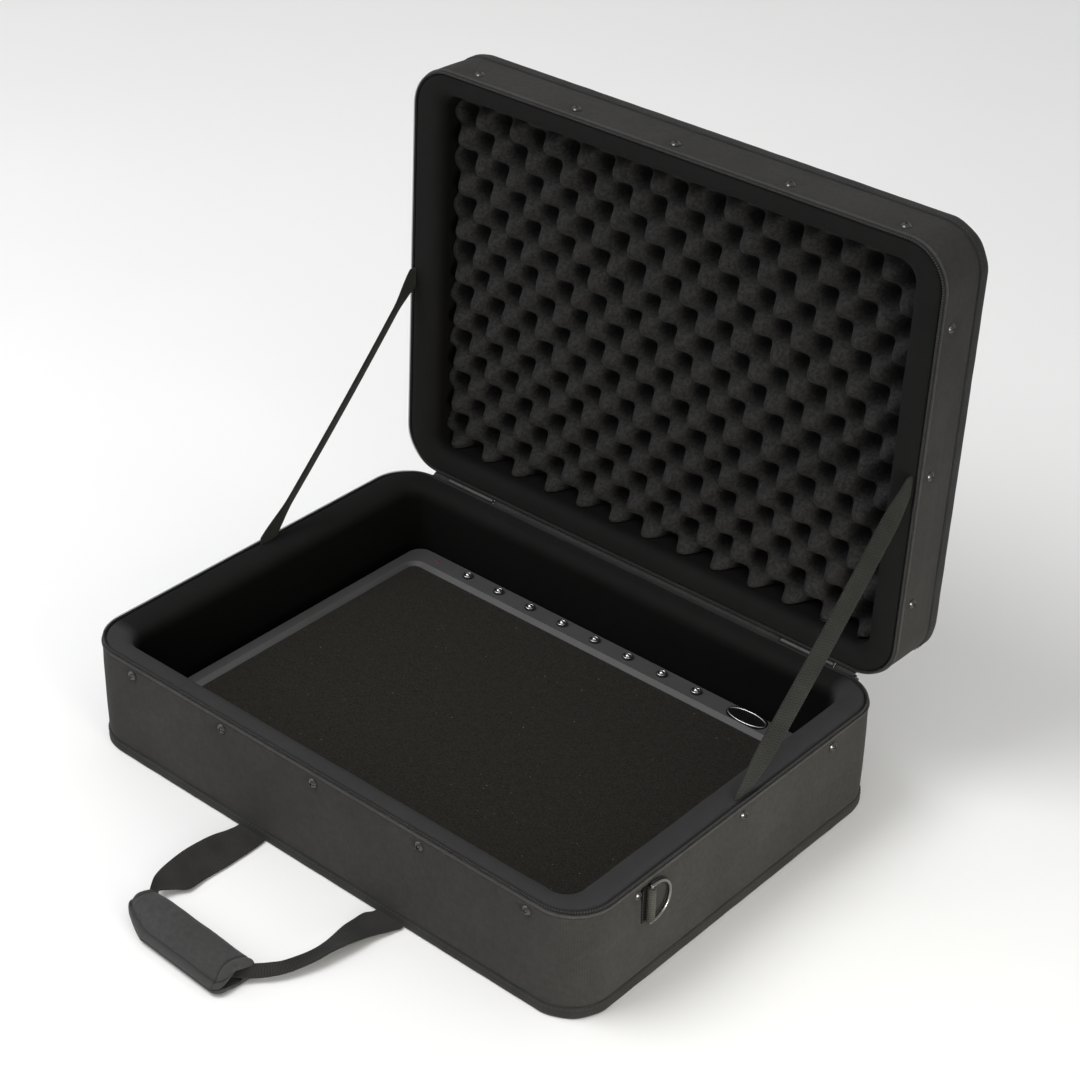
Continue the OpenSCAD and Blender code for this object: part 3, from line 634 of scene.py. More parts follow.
def cover_depth(p, h, screws, shift):
    """How far the fabric stands off the box at a point of its wall."""
    t = (p.z - BINDING_H) / (h - COVER_DROP - BINDING_H)
    crown = 0.45 * MM * sin(pi * min(1, max(0, t)))
    lumps = wavy(p + shift, 0.09, 0.45 * MM) + wavy(p * 1.7 + shift, 0.03, 0.2 * MM)
    dimple = sum(bell((p - s).length, 7 * MM) for s in screws)
    seam = 0.35 * MM * bell(p.x, 1.5 * MM) if p.y < 0 else 0
    crease = 0.28 * MM * bell(p.z - 0.49 * h, 2.2 * MM) * smoothstep(-0.1, 0.0, p.y)
    side = abs(p.x) > HALF_W - 2 * MM
    return crown + lumps - 1.25 * MM * dimple - seam - (crease if side else 0)


def make_cover(name, h, drop, matrix, shift):
    """Fabric wall: outside skin that rolls over at the rim, and its back against the box."""
    screws = screw_places(h - drop)
    top = h - COVER_DROP
    rows = 26 if h > 0.08 else 16
    rings = []
    for i in range(rows + 1):
        z = PANEL_T + (top - 1.2 * MM - PANEL_T) * i / rows
        free = smoothstep(BINDING_H - 2 * MM, BINDING_H + 5 * MM, z)
        free *= 1 - smoothstep(top - 5 * MM, top - 1 * MM, z)
        rings.append(pushed(ring_at(0, z), lambda p: cover_depth(p, h, screws, shift) * free))
    for inset, z in ((0.1, top - 0.5 * MM), (0.5, top), (1.1, top - 0.1 * MM), (1.5, top - 0.6 * MM)):
        rings.append(ring_at(inset * MM, z))
    rings.append(ring_at(COVER_T, PANEL_T))
    return loft(name, rings, FABRIC, matrix, wrap=True)


def make_panel(name, matrix, shift):
    """Outer panel: flat fabric with a soft edge and a raised line where the stiffener ends."""
    rings = [ring_at(2.5 * MM, PANEL_T), ring_at(0.4 * MM, PANEL_T - 0.3 * MM), ring_at(0.2 * MM, 1 * MM),
             ring_at(1 * MM, 0.25 * MM)]
    for i in range(1, 40):
        inset = 2 * MM + (HALF_D - 12 * MM) * i / 40
        ring = rounded_ring(inset, inset, max(1.5 * MM, CORNER_R - inset), 0)
        line = 0.5 * MM * bell(inset - 22 * MM, 3 * MM)
        rings.append([p + UP * (0.25 * MM + line + abs(wavy(p + shift, 0.07, 0.25 * MM))) for p in ring])
    inner = rings[-1]
    for x, y in ((0.98, 0.5), (0.96, 0.02)):
        rings.append([Vector((p.x * x, p.y * y, 0.25 * MM)) for p in inner])
    return loft(name, rings, PANEL, matrix, planar=True)


def make_binding(name, matrix, shift):
    """Folded tape over the outer edge, gathered a little at the corners."""
    h = BINDING_H
    profile = [(0.3, h + 0.2 * MM), (-0.6, h), (-0.95, h - 0.8 * MM), (-0.9, h * 0.75), (-1.15, h * 0.5),
               (-1.15, h * 0.25), (-0.9, 1.3 * MM), (-0.3, 0.5 * MM), (1.0, 0.12 * MM), (4, 0.06 * MM),
               (10, 0.06 * MM), (11.2, 0.15 * MM), (11, 0.5 * MM), (4, 0.9 * MM), (1.4, 2.2 * MM),
               (0.9, h * 0.6)]

    def loose(p):
        at_corner = abs(p.x) > HALF_W - CORNER_R and abs(p.y) > HALF_D - CORNER_R
        gather = 0.25 * MM * sin(atan2(p.y, p.x) * 90) if at_corner else 0
        return gather + wavy(p + shift, 0.02, 0.3 * MM)

    rings = []
    for inset, z in profile:
        ring = ring_at(inset * MM, z)
        rings.append(pushed(ring, loose) if inset < 0 else ring)
    return loft(name, rings, BINDING, matrix, wrap=True)


def make_binding_stitches(name, matrix):
    ring = ring_at(-1.0 * MM, BINDING_H - 2.6 * MM)
    w, d = HALF_W - CORNER_R, HALF_D - CORNER_R

    def up(p):
        near = Vector((min(w, max(-w, p.x)), min(d, max(-d, p.y)), p.z))
        return (p - near).normalized()

    return several(name, stitch_data(ring, up, closed=True), THREAD, matrix)


# Section of the plush rim: share of the way across it, and depth below the rim's plane
RIM_SECTION = [(0.0, 7.7), (-0.01, 5.6), (0.0, 3.6), (0.025, 2.1), (0.065, 1.0), (0.12, 0.4), (0.2, 0.12),
               (0.3, 0.0), (0.42, 0.0), (0.54, 0.1), (0.65, 0.4), (0.75, 1.0), (0.84, 2.0), (0.91, 3.5),
               (0.96, 5.6), (0.99, 8.5), (1.0, 12.0)]


def make_liner(name, h, matrix, shift):
    """Plush lining: soft thick rim, then the inner wall down to the floor."""
    floor = SHELF_Z + 0.2 * MM
    rows = max(4, round((h - 12 * MM - floor) / (7 * MM)))
    section = [(s, h - d * MM, 1) for s, d in RIM_SECTION]
    section += [(1.0, h - 12 * MM + (floor - h + 12 * MM) * i / rows, 1) for i in range(1, rows + 1)]
    section += [(0.45, floor, 0), (0.42, h - 8.5 * MM, 0)]
    rings = []
    for share, z, soft in section:
        inset_x = LIP_INSET + share * (SIDE_RIM - LIP_INSET)
        inset_y = LIP_INSET + share * (FRONT_RIM - LIP_INSET)
        r = CORNER_R - LIP_INSET + share * (INNER_R - CORNER_R + LIP_INSET)
        ring = rounded_ring(inset_x, inset_y, r, z)
        on_wall = share > 0.9 or share <= 0

        def depth(p):
            lumps = wavy(p + shift, 0.05, 0.8 * MM) + wavy(p * 1.3 + shift, 0.012, 0.25 * MM)
            return min(lumps, 0.2 * MM if on_wall else 0.0) * soft

        rings.append(pushed(ring, depth) if on_wall else [p + UP * depth(p) for p in ring])
    return loft(name, rings, PLUSH, matrix, wrap=True)


PIPING_R = 1.35 * MM


def make_piping(name, z, matrix):
    rings = [ring_at(0.6 * MM - PIPING_R * cos(a), z + PIPING_R * sin(a)) for a in turns(10)]
    return loft(name, rings, PIPING, matrix, wrap=True)


ZIP_REAR_RISE = 1.1 * MM
TOOTH_PITCH = 2.2 * MM
TOOTH_LEN = 1.3 * MM


def make_zip_tape(name, h, matrix):
    """Tape standing up between the piping and the plush, with a corded inner edge."""
    top = h - 1.0 * MM
    profile = [(1.1, h - 3.0 * MM), (1.0, h - 2.2 * MM), (1.05, top - 0.2 * MM), (1.5, top),
               (2.2, top - 0.05 * MM), (2.8, top - 0.2 * MM), (2.95, h - 2.2 * MM), (2.8, h - 3.0 * MM)]
    rings = []
    for inset, z in profile:
        rise = ZIP_REAR_RISE if z > h - 2 * MM else 0
        rings.append([p + UP * (rise * smoothstep(HALF_D - 12 * MM, HALF_D - 5 * MM, p.y))
                      for p in ring_at(inset * MM, z)])
    return loft(name, rings, ZIP_TAPE, matrix, wrap=True)


def make_zip_teeth(name, h, matrix):
    """Moulded teeth along the tape, from one rear corner round the front to the other."""
    parts = []
    stop = HALF_W - CORNER_R
    for p, t in walk(ring_at(1.3 * MM, h - 0.55 * MM), TOOTH_PITCH, closed=True):
        if p.y > HALF_D - 10 * MM and abs(p.x) < stop - 2 * MM:
            continue
        n = Vector((t.y, -t.x, 0))
        rings = []
        for k, f in ((-0.5, 0.6), (-0.3, 1.0), (0.3, 1.0), (0.5, 0.6)):
            c = p + t * (k * TOOTH_LEN)
            rings.append([c + n * (x * f * 0.8 * MM) + UP * (y * f * 0.42 * MM)
                          for x, y in ((-1, -1), (1, -1), (1, 1), (-1, 1))])
        parts.append(loft_data(rings))
    return several(name, parts, ZIP_TEETH, matrix)


def make_box(body, h, drop, matrix, shift, panel_node, binding_node):
    """Every soft layer of one half of the case."""
    cover = make_cover(f"{body}_cover_fabric", h, drop, matrix, shift)
    dress(cover, body, "case_fabric", f"{body}_cover")
    dress(make_panel(f"{body}_panel_fabric", matrix, shift), body, "panel_fabric", panel_node)
    dress(make_binding(f"{body}_binding_tape", matrix, shift), body, "binding_tape", binding_node)
    dress(make_binding_stitches(f"{body}_binding_stitches", matrix), body, "binding_tape")
    liner = make_liner(f"{body}_plush_liner", h, matrix, shift)
    dress(liner, body, "plush", f"{body}_liner")
    dress(make_piping(f"{body}_piping_cord", h - 4.6 * MM, matrix), body, "piping", f"{body}_piping")
    dress(make_zip_tape(f"{body}_zip_tape_cloth", h, matrix), body, "zip_tape", f"{body}_zip_tape")
    dress(make_zip_teeth(f"{body}_zip_teeth", h, matrix), body, "zip_tape")


def make_floor_pad():
    """Plush pad on the base's floor, with a soft edge and slight hollows."""
    pad = sheet_pad("base_floor_plush", (SIDE_RIM + 0.6 * MM, FRONT_RIM + 0.6 * MM), lambda inset: INNER_R,
                    SHELF_Z + 0.2 * MM, (FLOOR_TOP, FLOOR_TOP - 0.15 * MM),
                    ((0, 3.0), (0.3, 1.6), (1.2, 0.7), (3, 0.3)), [6 * MM * i for i in range(1, 24)],
                    lambda p: -abs(wavy(p, 0.04, 0.5 * MM)), FLOOR_PLUSH_AND_SHADOW)
    dress(pad, "base", "plush", "base_floor_pad")


# ---- Egg-crate foam ----


def foam_place(x, y):
    """Point of the even pattern that a point of the foam shows: the cut wanders a little."""
    spot = Vector((x, y, 0.17)) / (34 * MM)
    return x + noise.noise(spot) * 2.4 * MM, y + noise.noise(spot + Vector((7, 3, 5))) * 2.4 * MM


def foam_height(x, y):
    """Rows of round peaks, staggered, with a pit between each two and saddles between rows."""
    x, y = foam_place(x, y)
    wave = cos(tau * x / FOAM_PITCH_X) * cos(tau * y / FOAM_PITCH_Y)
    share = 0.5 + 0.5 * wave
    shaped = share ** 0.88 - 0.03 * sin(tau * share)
    uneven = noise.noise(Vector((x, y, 0.31)) / (30 * MM)) * 1.2 * MM
    return FOAM_PIT + (FOAM_PEAK - FOAM_PIT - 1.2 * MM) * min(1.0, shaped) + uneven


def make_foam():
    half_w = HALF_W - SIDE_RIM - 1.2 * MM
    half_d = HALF_D - FRONT_RIM - 1.2 * MM
    r = INNER_R - 1 * MM
    nx, ny = round(2 * half_w / FOAM_STEP), round(2 * half_d / FOAM_STEP)
    verts, faces, uvs = [], [], []

    def add(x, y, z):
        verts.append(Vector((x, y, z)))
        return len(verts) - 1

    rows = []
    for j in range(ny + 1):
        y = -half_d + 2 * half_d * j / ny
        over = max(0.0, abs(y) - (half_d - r))
        reach = half_w - r + sqrt(max(0.0, r * r - over * over))
        row = []
        for i in range(nx + 1):
            x = -reach + 2 * reach * i / nx
            row.append(add(x, y, SHELF_Z + foam_height(x, y)))
        rows.append(row)
    for a, b in zip(rows, rows[1:]):
        faces += [(a[i], a[i + 1], b[i + 1], b[i]) for i in range(nx)]
    rim = rows[0][:-1] + [row[-1] for row in rows[:-1]]
    rim += rows[-1][:0:-1] + [row[0] for row in rows[:0:-1]]
    low = [add(verts[i].x, verts[i].y, SHELF_Z + 0.2 * MM) for i in rim]
    for k in range(len(rim)):
        m = (k + 1) % len(rim)
        faces.append((rim[k], low[k], low[m], rim[m]))
    faces.append(tuple(low))
    for face in faces:
        uvs += [foam_place(verts[i].x, verts[i].y) for i in face]
    foam = finish_mesh("lid_egg_crate_foam", verts, faces, uvs, FOAM, LID)
    dress(foam, "lid", "foam", "lid_foam")


# ---- Webbing ----


def spline(route, per_span):
    """Catmull-Rom through rows of numbers."""
    ends = [route[0]] + list(route) + [route[-1]]
    rows = []
    for k in range(1, len(ends) - 2):
        p0, p1, p2, p3 = ends[k - 1:k + 3]
        for i in range(per_span):
            t = i / per_span
            rows.append([0.5 * (2 * b + (c - a) * t + (2 * a - 5 * b + 4 * c - d) * t * t
                                + (3 * b - a - 3 * c + d) * t ** 3)
                         for a, b, c, d in zip(p0, p1, p2, p3)])
    rows.append(list(route[-1]))
    return rows


ACROSS = [-1, -0.96, -0.86, -0.6, -0.3, 0, 0.3, 0.6, 0.86, 0.96, 1]


def web_ring(centre, side, up, width, thickness, cup=0.0):
    """Section of webbing: rounded selvedges, slightly cupped."""
    ring = []
    for face in (1, -1):
        for c in ACROSS[::face]:
            round_off = 0.5 if abs(c) == 1 else 0.85 if abs(c) > 0.9 else 1
            lift = face * thickness / 2 * round_off + cup * (c * c - 0.4)
            ring.append(centre + side * (c * width / 2) + up * lift)
    return ring


def web_data(route, width, thickness, cup=0.0, per_span=6):
    """Skin of webbing along rows of x, y, z, share of the width and roll in degrees."""
    rows = spline(route, per_span)
    rings = []
    for i, row in enumerate(rows):
        a = Vector(rows[max(i - 1, 0)][:3])
        b = Vector(rows[min(i + 1, len(rows) - 1)][:3])
        along = (b - a).normalized()
        flat = Vector((along.y, -along.x, 0)).normalized()
        lift = flat.cross(along)
        roll = radians(row[4])
        side = flat * cos(roll) + lift * sin(roll)
        rings.append(web_ring(Vector(row[:3]), side, side.cross(along), width * row[3], thickness, cup))
    return loft_data(rings)


def edged_web_data(route, thickness, cup, per_span=8):
    """Skin of webbing between two edges, each row holding a point of both in millimetres."""
    rows = spline(route, per_span)
    centres = [(Vector(row[:3]) + Vector(row[3:])) * (MM / 2) for row in rows]
    rings = []
    for i, row in enumerate(rows):
        along = (centres[min(i + 1, len(rows) - 1)] - centres[max(i - 1, 0)]).normalized()
        across = (Vector(row[3:]) - Vector(row[:3])) * MM
        width = across.length
        side = across.normalized()
        up = side.cross(along)
        up = (up if up.z > 0 else -up).normalized()
        slack = cup * max(0.0, 1 - width / (HANDLE_W * 1.15)) * 6 + cup
        rings.append(web_ring(centres[i], side, up, width, thickness, slack))
    return loft_data(rings)


HANDLE_W = 30 * MM
HANDLE_T = 2 * MM
# Outer and inner edge of the webbing from its left root, through the grip, to its right root, in mm
BASE_HANDLE_EDGES = [
    (-95, -142, 0.9, -65, -142, 0.9), (-95, -170, 0.9, -65, -170, 0.9),
    (-93, -192, 0.9, -62.5, -192, 0.9), (-90, -202.6, 1.3, -58.5, -202.6, 1.3),
    (-88.9, -216.2, 4.5, -57.3, -218.5, 1.3), (-88, -231, 9.5, -57.2, -233, 1.3),
    (-87.5, -245, 12.3, -57.2, -247, 1.4), (-88.2, -265.5, 12.6, -58.1, -267.6, 1.8),
    (-85.9, -286.8, 12.2, -57.3, -286.5, 3.2), (-82.5, -300.5, 11.6, -63.5, -296.5, 5),
    (-77, -309.5, 11.3, -68.3, -307.5, 8), (-71, -317, 11.2, -65, -312.5, 9.4),
    (-62, -328, 11, -57.5, -318.5, 10.2), (-48, -340, 10.6, -48, -326, 10.4),
    (0, -343, 10.4, 0, -327, 10.4), (36, -343, 10.2, 37, -328, 10.6),
    (50, -336, 7, 48.5, -322.5, 11.8), (59.5, -325.1, 4.5, 55.4, -317.1, 12.5),
    (68.5, -315.5, 5, 61, -308, 10.5), (76.6, -302.9, 6, 65.3, -297.6, 8),
    (84.4, -282.8, 8.5, 69.6, -275.9, 5), (87.8, -264.8, 10, 69.3, -256.9, 3),
    (91.3, -245.1, 8.5, 65.5, -234.2, 2), (93.6, -229.7, 5.5, 65.4, -222.5, 1.6),
    (99, -211.5, 2.6, 65.8, -211, 1.3), (101, -202.6, 1.3, 70.5, -202.6, 1.3),
    (96, -192, 0.9, 66, -192, 0.9), (95, -170, 0.9, 65, -170, 0.9), (95, -142, 0.9, 65, -142, 0.9),
]


def in_metres(route):
    return [(x * MM, y * MM, z * MM, w, roll) for x, y, z, w, roll in route]


def make_base_handle():
    """One length of webbing: sewn under the base, out over the floor and through the grip."""
    skin = edged_web_data(BASE_HANDLE_EDGES, HANDLE_T * 0.8, 0.3 * MM)
    web = several("base_handle_webbing", [skin], WEBBING)
    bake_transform(web)
    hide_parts("base_handle_web", "handle_anchor_webs")


def box_stitches(x, y0, y1, z, up):
    """Sewn box with a cross in it."""
    w = HANDLE_W / 2 - 4 * MM
    a, b, c, d = [Vector((x + s * w, y, z)) for s, y in ((-1, y0), (1, y0), (1, y1), (-1, y1))]
    parts = []
    for line in ([a, b], [b, c], [c, d], [d, a], [a, c], [b, d]):
        parts += stitch_data(line, lambda p: up, pitch=3 * MM)
    return parts


def make_anchor_stitches():
    down = Vector((0, 0, -1))
    parts = [stitch for s in (-1, 1) for stitch in box_stitches(s * 80 * MM, -0.186, -0.147, 0.12 * MM, down)]
    dress(several("handle_anchor_stitches", parts, THREAD), "base", "webbing")


# Half of the loop: x, y from the sewn end and z in mm, share of the width, roll in degrees
LID_HANDLE_ROUTE = [
    (80, 3, -1.4, 1, 0), (80, 10, -1.4, 1, 0), (80, 30, -1.5, 1, 0), (79, 50, -1.9, 0.98, 2),
    (76, 66, -3.2, 0.92, 8), (69, 80, -4.8, 0.84, 16), (57, 90, -5.6, 0.8, 20),
    (40, 95.5, -5.4, 0.82, 17), (20, 97.5, -4.4, 0.88, 11), (0, 98, -4.0, 0.9, 8),
]


def make_lid_handle():
    """Loop of webbing on the lid's outer face, its ends sewn down near the lid's front edge."""
    half = [(x, y - 194, z, w, roll) for x, y, z, w, roll in LID_HANDLE_ROUTE]
    other = [(-x, y, z, w, roll) for x, y, z, w, roll in reversed(half[:-1])]
    root = [(80, y, -0.6, 1, 0) for y in (-198.5, -196.5)]
    far_root = [(-x, y, z, w, roll) for x, y, z, w, roll in reversed(root)]
    route = in_metres(root + half + other + far_root)
    web = several("lid_handle_webbing", [web_data(route, HANDLE_W, HANDLE_T * 0.8, 0.25 * MM)], WEBBING, LID)
    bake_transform(web)
    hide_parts("lid_handle_web", "lid_handle_anchors")


# ---- Grip ----

GRIP_PLACE = (Matrix.Translation((-9 * MM, -336 * MM, 0.4 * MM))
              @ Matrix.Rotation(radians(-2.5), 4, "Z"))
GRIP_HALF = 63 * MM
GRIP_D = 20 * MM
GRIP_MID = 10 * MM
GRIP_STEPS = 126
GRIP_CORNER = 9 * MM
GRIP_SWEEP = 17 * MM
GRIP_SWEEP_LEN = 34 * MM
GRIP_LEAN = 4 * MM
GRIP_SAG = 4 * MM
GRIP_BORDER_STEP = 5
# Outside, then inside, of one folded layer: distance from the axis, and height above the middle
LAYER_OUT = [(20, 0.25), (20, 2.2), (19.4, 4.6), (18, 6.9), (15.6, 8.6), (12.4, 9.5), (8.5, 9.8), (4, 9.85),
             (0, 9.7), (-4, 9.2), (-7.5, 8.3), (-10.5, 6.9), (-13, 5.2), (-14.4, 3.9), (-15.4, 2.2),
             (-16.4, 3.6), (-18.2, 3.9), (-19.5, 3.2), (-20, 2.0), (-20, 0.7)]
LAYER_IN = [(-19.4, 0.3), (-17.5, 0.3), (-15.5, 0.5), (-13, 2.4), (-10, 4.0), (-6, 5.6), (0, 6.7), (6, 6.9),
            (11, 6.4), (14.6, 5.0), (16.6, 2.8), (17.2, 0.3)]
SEAM_ROW = 14
# Half width of the painted shade line along each seam groove
SEAM_HALF = 0.75 * MM
GRIP_SEAMS = (sum(dist(a, b) for a, b in zip(LAYER_OUT[:SEAM_ROW], LAYER_OUT[1:SEAM_ROW + 1])) * MM,
              GRIP_BORDER_STEP * 2 * GRIP_HALF / GRIP_STEPS,
              (GRIP_STEPS - GRIP_BORDER_STEP) * 2 * GRIP_HALF / GRIP_STEPS)
# Grip cloth, with painted shade along its seam grooves and a painted highlight on the hems beyond them
GRIP = woven("grip_fabric", grey(0.044), pitch=1.0 * MM, relief=0.14 * MM, sheen=0.12, seams=GRIP_SEAMS)


def grip_front(x):
    """Near edge of the grip at a place along it: swept back to the left, rounded at both ends."""
    turn = max(0.0, GRIP_CORNER - (GRIP_HALF - abs(x)))
    cut = (GRIP_CORNER - sqrt(max(0.0, GRIP_CORNER ** 2 - turn ** 2))) * (0.5 if x < 0 else 1)
    sweep = max(0.0, 1 - (x + GRIP_HALF) / GRIP_SWEEP_LEN) ** 1.3
    return cut + GRIP_SWEEP * sweep - GRIP_D


def layer_rings(direction, puff):
    """Sections along the grip of its upper (1) or lower (-1) layer, swept back at its left end."""
    rings = []
    for i in range(GRIP_STEPS + 1):
        x = -GRIP_HALF + 2 * GRIP_HALF * i / GRIP_STEPS
        from_end = GRIP_HALF - abs(x)
        from_left = x + GRIP_HALF
        front = grip_front(x)
        end_dip = bell(from_end - GRIP_SEAMS[1], 1.3 * MM)
        left = 1 - smoothstep(0, 30 * MM, from_left)
        right = smoothstep(GRIP_HALF - 26 * MM, GRIP_HALF, x)
        close = 0.45 * left * (1 - smoothstep(0, 3 * MM, from_end) ** 0.5)
        ring = []
        for k, (y, z) in enumerate(LAYER_OUT + LAYER_IN):
            share = (y * MM + GRIP_D) / (2 * GRIP_D)
            yy = front + share * (GRIP_D - front)
            scale = puff * (1 - (0.1 + 0.45 * share) * left) * (1 - close)
            lumps = wavy(Vector((x, yy, direction * 0.1)), 0.022, 0.9 * MM) if 1 < k < 14 else 0
            dip = 1.5 * MM * end_dip if 0 < k < len(LAYER_OUT) - 5 else 0
            height = max(0.25 * MM, z * MM * scale + lumps - dip)
            sag = GRIP_SAG * (1 - smoothstep(0, 0.45, share)) * (1 - 0.5 * left)
            back = GRIP_LEAN * (1 - share) * left
            if direction > 0:
                back += (6 * MM * sin(pi * share) + 1.5 * MM * (1 - share)) * right
            ring.append(Vector((x - back, yy, GRIP_MID + direction * height - sag)))
        rings.append(ring)
    return rings


def border_line(rings, direction):
    """Line of the sewn border on a layer, read off its sections: left end, front edge and right end."""
    left, right = rings[GRIP_BORDER_STEP], rings[-1 - GRIP_BORDER_STEP]
    line = left[4:SEAM_ROW] + [ring[SEAM_ROW] for ring in rings[GRIP_BORDER_STEP:-GRIP_BORDER_STEP]]
    line += right[SEAM_ROW - 1:3:-1]
    return [p + UP * (direction * 0.35 * MM) for p in line]


def make_grip():
    for name, node, body, direction, puff in (
            ("grip_upper_wrap", "grip_flap", "grip_flap", 1, 1.0),
            ("grip_lower_wrap", "grip_wrap", "base_handle", -1, 0.96)):
        rings = layer_rings(direction, puff)
        layer = loft(name, rings, GRIP, GRIP_PLACE)
        layer.modifiers.new("soft", "SUBSURF").render_levels = 1
        up = UP * direction
        parts = stitch_data(border_line(rings, direction), lambda p: up, pitch=3.2 * MM)
        dress(several(f"{name}_stitches", parts, THREAD, GRIP_PLACE), body, "grip_fabric")
        dress(layer, body, "grip_fabric", node)
    make_grip_padding()


def make_grip_padding():
    """Soft core round the webbing, its ends a little ragged."""
    section = [(13.2, 0), (12.6, 2.6), (9.5, 4.7), (4, 5.6), (-3, 5.4), (-8, 3.6), (-11.5, 1.6), (-12.6, 0)]
    section += [(y, -z) for y, z in reversed(section[1:-1])]
    rings = []
    for i in range(41):
        x = (-52 + 100 * i / 40) * MM
        end = smoothstep(0, 0.1, i / 40) * smoothstep(0, 0.06, 1 - i / 40)
        near = grip_front(x) + 6 * MM
        ring = []
        for y, z in section:
            p = Vector((x, max(near, y * MM * (0.8 + 0.2 * end)), GRIP_MID + z * MM * (0.6 + 0.4 * end)))
            ragged = wavy(p, 0.006, 1.6 * MM) if i > 36 else 0
            ring.append(p + Vector((ragged, 0, wavy(p, 0.012, 0.5 * MM))))
        rings.append(ring)
    core = loft("grip_core", rings, GRIP_FOAM, GRIP_PLACE)
    dress(core, "base_handle", "foam", "grip_padding")


# ---- Stays and the strip between the hinges ----

STAY_X = 273.5 * MM
STAY_W = 18.4 * MM
STAY_T = 1.5 * MM
STAY_FOOT_Y = {1: 4 * MM, -1: 10 * MM}
STAY_ROLL = radians(24)


def make_stay(name, node, side):
    """Ribbed strap from rim to rim, rolled over in its middle and upright at its sewn ends."""
    sewn_y = STAY_FOOT_Y[side]
    low, foot = [Vector((side * STAY_X, sewn_y, BASE_H - drop * MM)) for drop in (7, 1)]
    head, inside = [OPENED @ Vector((side * STAY_X, 3 * MM, BASE_H + RIM_GAP + up * MM)) for up in (0, 6)]
    steps = 90
    centres = [low] + [foot.lerp(head, i / steps) for i in range(steps + 1)] + [inside]
    t = (head - foot).normalized()
    edge = Vector((0, -t.z, t.y))
    rings = []
    for i, p in enumerate(centres):
        share = min(1.0, max(0.0, (i - 1) / steps))
        free = smoothstep(0.0, 0.16, share) * (1 - smoothstep(0.86, 1.0, share))
        roll = -side * STAY_ROLL * free
        sag = Vector((0, 1, -1)).normalized() * (2.5 * MM * sin(pi * share))
        across = edge * cos(roll) + Vector((1, 0, 0)) * sin(roll)
        rings.append(web_ring(p + sag, across, across.cross(t), STAY_W, STAY_T, 0.35 * MM))
    strap = loft(name, rings, STAY)
    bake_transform(strap)
    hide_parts(node)


STRIP_OVER = 5.6 * MM
# Beyond the hinges the strip goes on to the corners
STRIP_OUTER = (223.5 * MM, 244 * MM)


def make_fabric_hinge():
    """Dust strip: up the base's back, round the axis and along the lid's back."""
    low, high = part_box("fabric_hinge")
    out = PIVOT.y - 0.6 * MM
    path = [(out, low.z), (out, low.z + 8 * MM), (out, PIVOT.z - 7 * MM),
            (out + 0.2 * MM, PIVOT.z - 3.5 * MM), (out + 1.6 * MM, PIVOT.z - 1.0 * MM),
            (out + 4.5 * MM, PIVOT.z + 0.2 * MM), (out + 9 * MM, PIVOT.z), (high.y, PIVOT.z - 0.5 * MM)]
    half_t = 0.4 * MM
    rows = spline(path, 5)
    middle = (low.x - STRIP_OVER, high.x + STRIP_OVER)
    parts = []
    for x0, x1 in (middle, STRIP_OUTER, (-STRIP_OUTER[1], -STRIP_OUTER[0])):
        count = max(8, round((x1 - x0) / (5.6 * MM)))
        rings = []
        for i, (y, z) in enumerate(rows):
            a, b = rows[max(i - 1, 0)], rows[min(i + 1, len(rows) - 1)]
            t = Vector((0, b[0] - a[0], b[1] - a[1])).normalized()
            n = Vector((0, t.z, -t.y))
            line = []
            for face in (1, -1):
                for k in range(count + 1)[::face]:
                    p = Vector((x0 + (x1 - x0) * k / count, y, z))
                    line.append(p + n * (face * half_t + wavy(p, 0.014, 0.25 * MM)))
            rings.append(line)
        parts.append(loft_data(rings))
    strip = several("hinge_dust_strip", parts, PANEL)
    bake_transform(strip)
    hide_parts("fabric_hinge")


# ---- D-ring loops ----

DRING_Y = -119 * MM
DRING_Z = 79 * MM
DRING_OUT = 4 * MM
TAB_H = 32 * MM
TAB_R = 3.5 * MM


